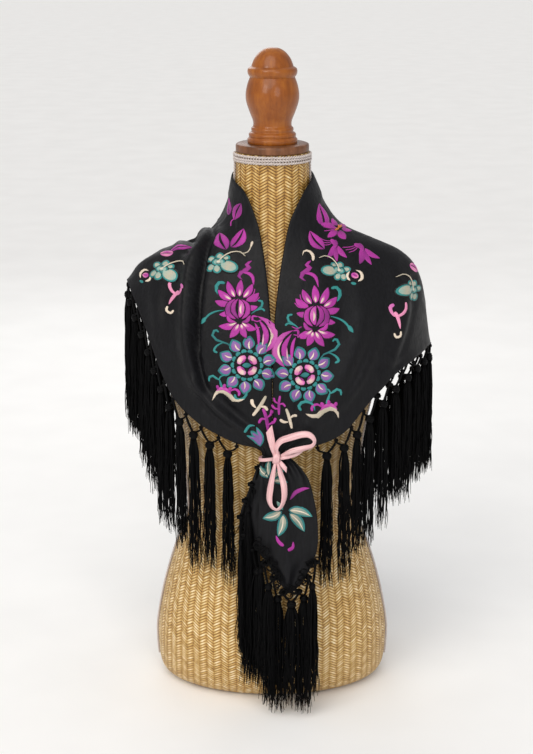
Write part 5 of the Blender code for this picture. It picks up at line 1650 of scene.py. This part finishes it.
side = np.array([-1.0, 0.0, 0.0])
front = tail_grid(FRONT_TAIL, 0.0028, 0.0030)
rear = tail_grid(REAR_TAIL, 0.0016, 0.0012)
forward = np.array([0.0, -1.0, 0.0])
front_cloth = sheet_piece("front_tail_cloth", front, np.broadcast_to(forward, front.shape), SILK_THICKNESS,
                          SILK, ["shawl_tail_front"])
rear_cloth = sheet_piece("rear_tail_cloth", rear, np.broadcast_to(forward, rear.shape), SILK_THICKNESS, SILK,
                         ["shawl_tail_rear"])


def table_edge(grid, table, right_rows, left_rows):
    """Points of a tail's edge at rows of its table, down its right side and up its left."""
    heights = grid[0, :, 2]
    points = []
    for column, rows in ((-1, right_rows), (0, left_rows)):
        for row in rows:
            points.append([np.interp(-table[row, 0], -heights, grid[column, :, axis]) for axis in range(3)])
    return np.array(points)


edge = table_edge(front, FRONT_TAIL, (8, 9, 10), (10, 9, 8, 7))
front_yarn = Fringe("tail_front", beyond(resample(edge, 12), 0.0026), 0.162, 0.172, side, 0.0035, 1.75, 76,
                    0.022).item
edge = table_edge(rear, REAR_TAIL, (), (9, 8, 7, 6, 5, 4, 3, 2))
rear_edge = beyond(resample(edge, 12), 0.0010) - [0.0, 0.0042, 0.0]
rear_yarn = Fringe("tail_rear", rear_edge, 0.165, 0.190, side, 0.0030, 1.75, 70).item

left_work = embroider("embroidery_left", cloth, LEFT_MOTIFS)
right_work = embroider("embroidery_right", cloth, RIGHT_MOTIFS)
tail_work = embroider("embroidery_tail", front_cloth, TAIL_MOTIFS)
back_work = embroider("embroidery_back", cloth, BACK_MOTIFS, True)

bow()


# Studio

CAMERA_PLACE = (-0.008, -2.09, 1.06)
LOOK_DOWN = 16.2                # degrees below level
LENS = 73.2                     # mm on a sensor 36 mm long


def studio():
    deselect()
    bpy.ops.mesh.primitive_plane_add(size=80.0)
    floor = bpy.context.object
    floor.name = "studio_floor"
    paper, tree, shader = finish("white_paper", Roughness=0.9)
    place = add(tree, "TexCoord").outputs["Object"]
    tooth = add(tree, "TexNoise", {"Vector": place, "Scale": 6.0, "Detail": 2.0}).outputs["Fac"]
    tree.links.new(ramp(tree, tooth, [(0.3, "#f5f5f4"), (0.7, "#f9f9f8")]), shader.inputs["Base Color"])
    floor.data.materials.append(paper)
    sun = bpy.data.lights.new("window_light", "SUN")
    sun.energy = 1.6
    sun.angle = radians(55)
    sun.color = linear("#fffbf5")[:3]
    item = bpy.data.objects.new("window_light", sun)
    item.rotation_euler = Vector((0.34, 1.0, -1.15)).to_track_quat("-Z", "Y").to_euler()
    bpy.context.scene.collection.objects.link(item)
    # place, size, power, colour of each soft light, all aimed at the middle of the shawl
    target = Vector((0.0, 0.0, 0.42))
    for name, place, size, power, colour in [
            ("left_light", (-1.3, -1.9, 1.7), 0.9, 9.0, "#fffaf3"),
            ("right_light", (0.8, -2.1, 1.3), 1.0, 6.5, "#f6f8ff"),
            ("rear_light", (-0.4, 2.0, 1.7), 1.4, 8.0, "#ffffff")]:
        light = bpy.data.lights.new(name, "AREA")
        light.shape = "DISK"
        light.size = size
        light.energy = power
        light.color = linear(colour)[:3]
        item = bpy.data.objects.new(name, light)
        item.location = place
        item.rotation_euler = (target - Vector(place)).to_track_quat("-Z", "Y").to_euler()
        bpy.context.scene.collection.objects.link(item)
    world = bpy.data.worlds.new("soft_room")
    bpy.context.scene.world = world
    world.use_nodes = True
    world.node_tree.nodes["Background"].inputs["Color"].default_value = linear("#f8f8fa")
    world.node_tree.nodes["Background"].inputs["Strength"].default_value = 0.54
    bpy.context.scene.view_settings.view_transform = "Standard"
    camera = bpy.data.cameras.new("camera")
    camera.lens = LENS
    camera.sensor_width = 36.0
    item = bpy.data.objects.new("camera", camera)
    item.location = CAMERA_PLACE
    item.rotation_euler = (radians(90.0 - LOOK_DOWN), 0.0, 0.0)
    bpy.context.scene.collection.objects.link(item)
    bpy.context.scene.camera = item


studio()
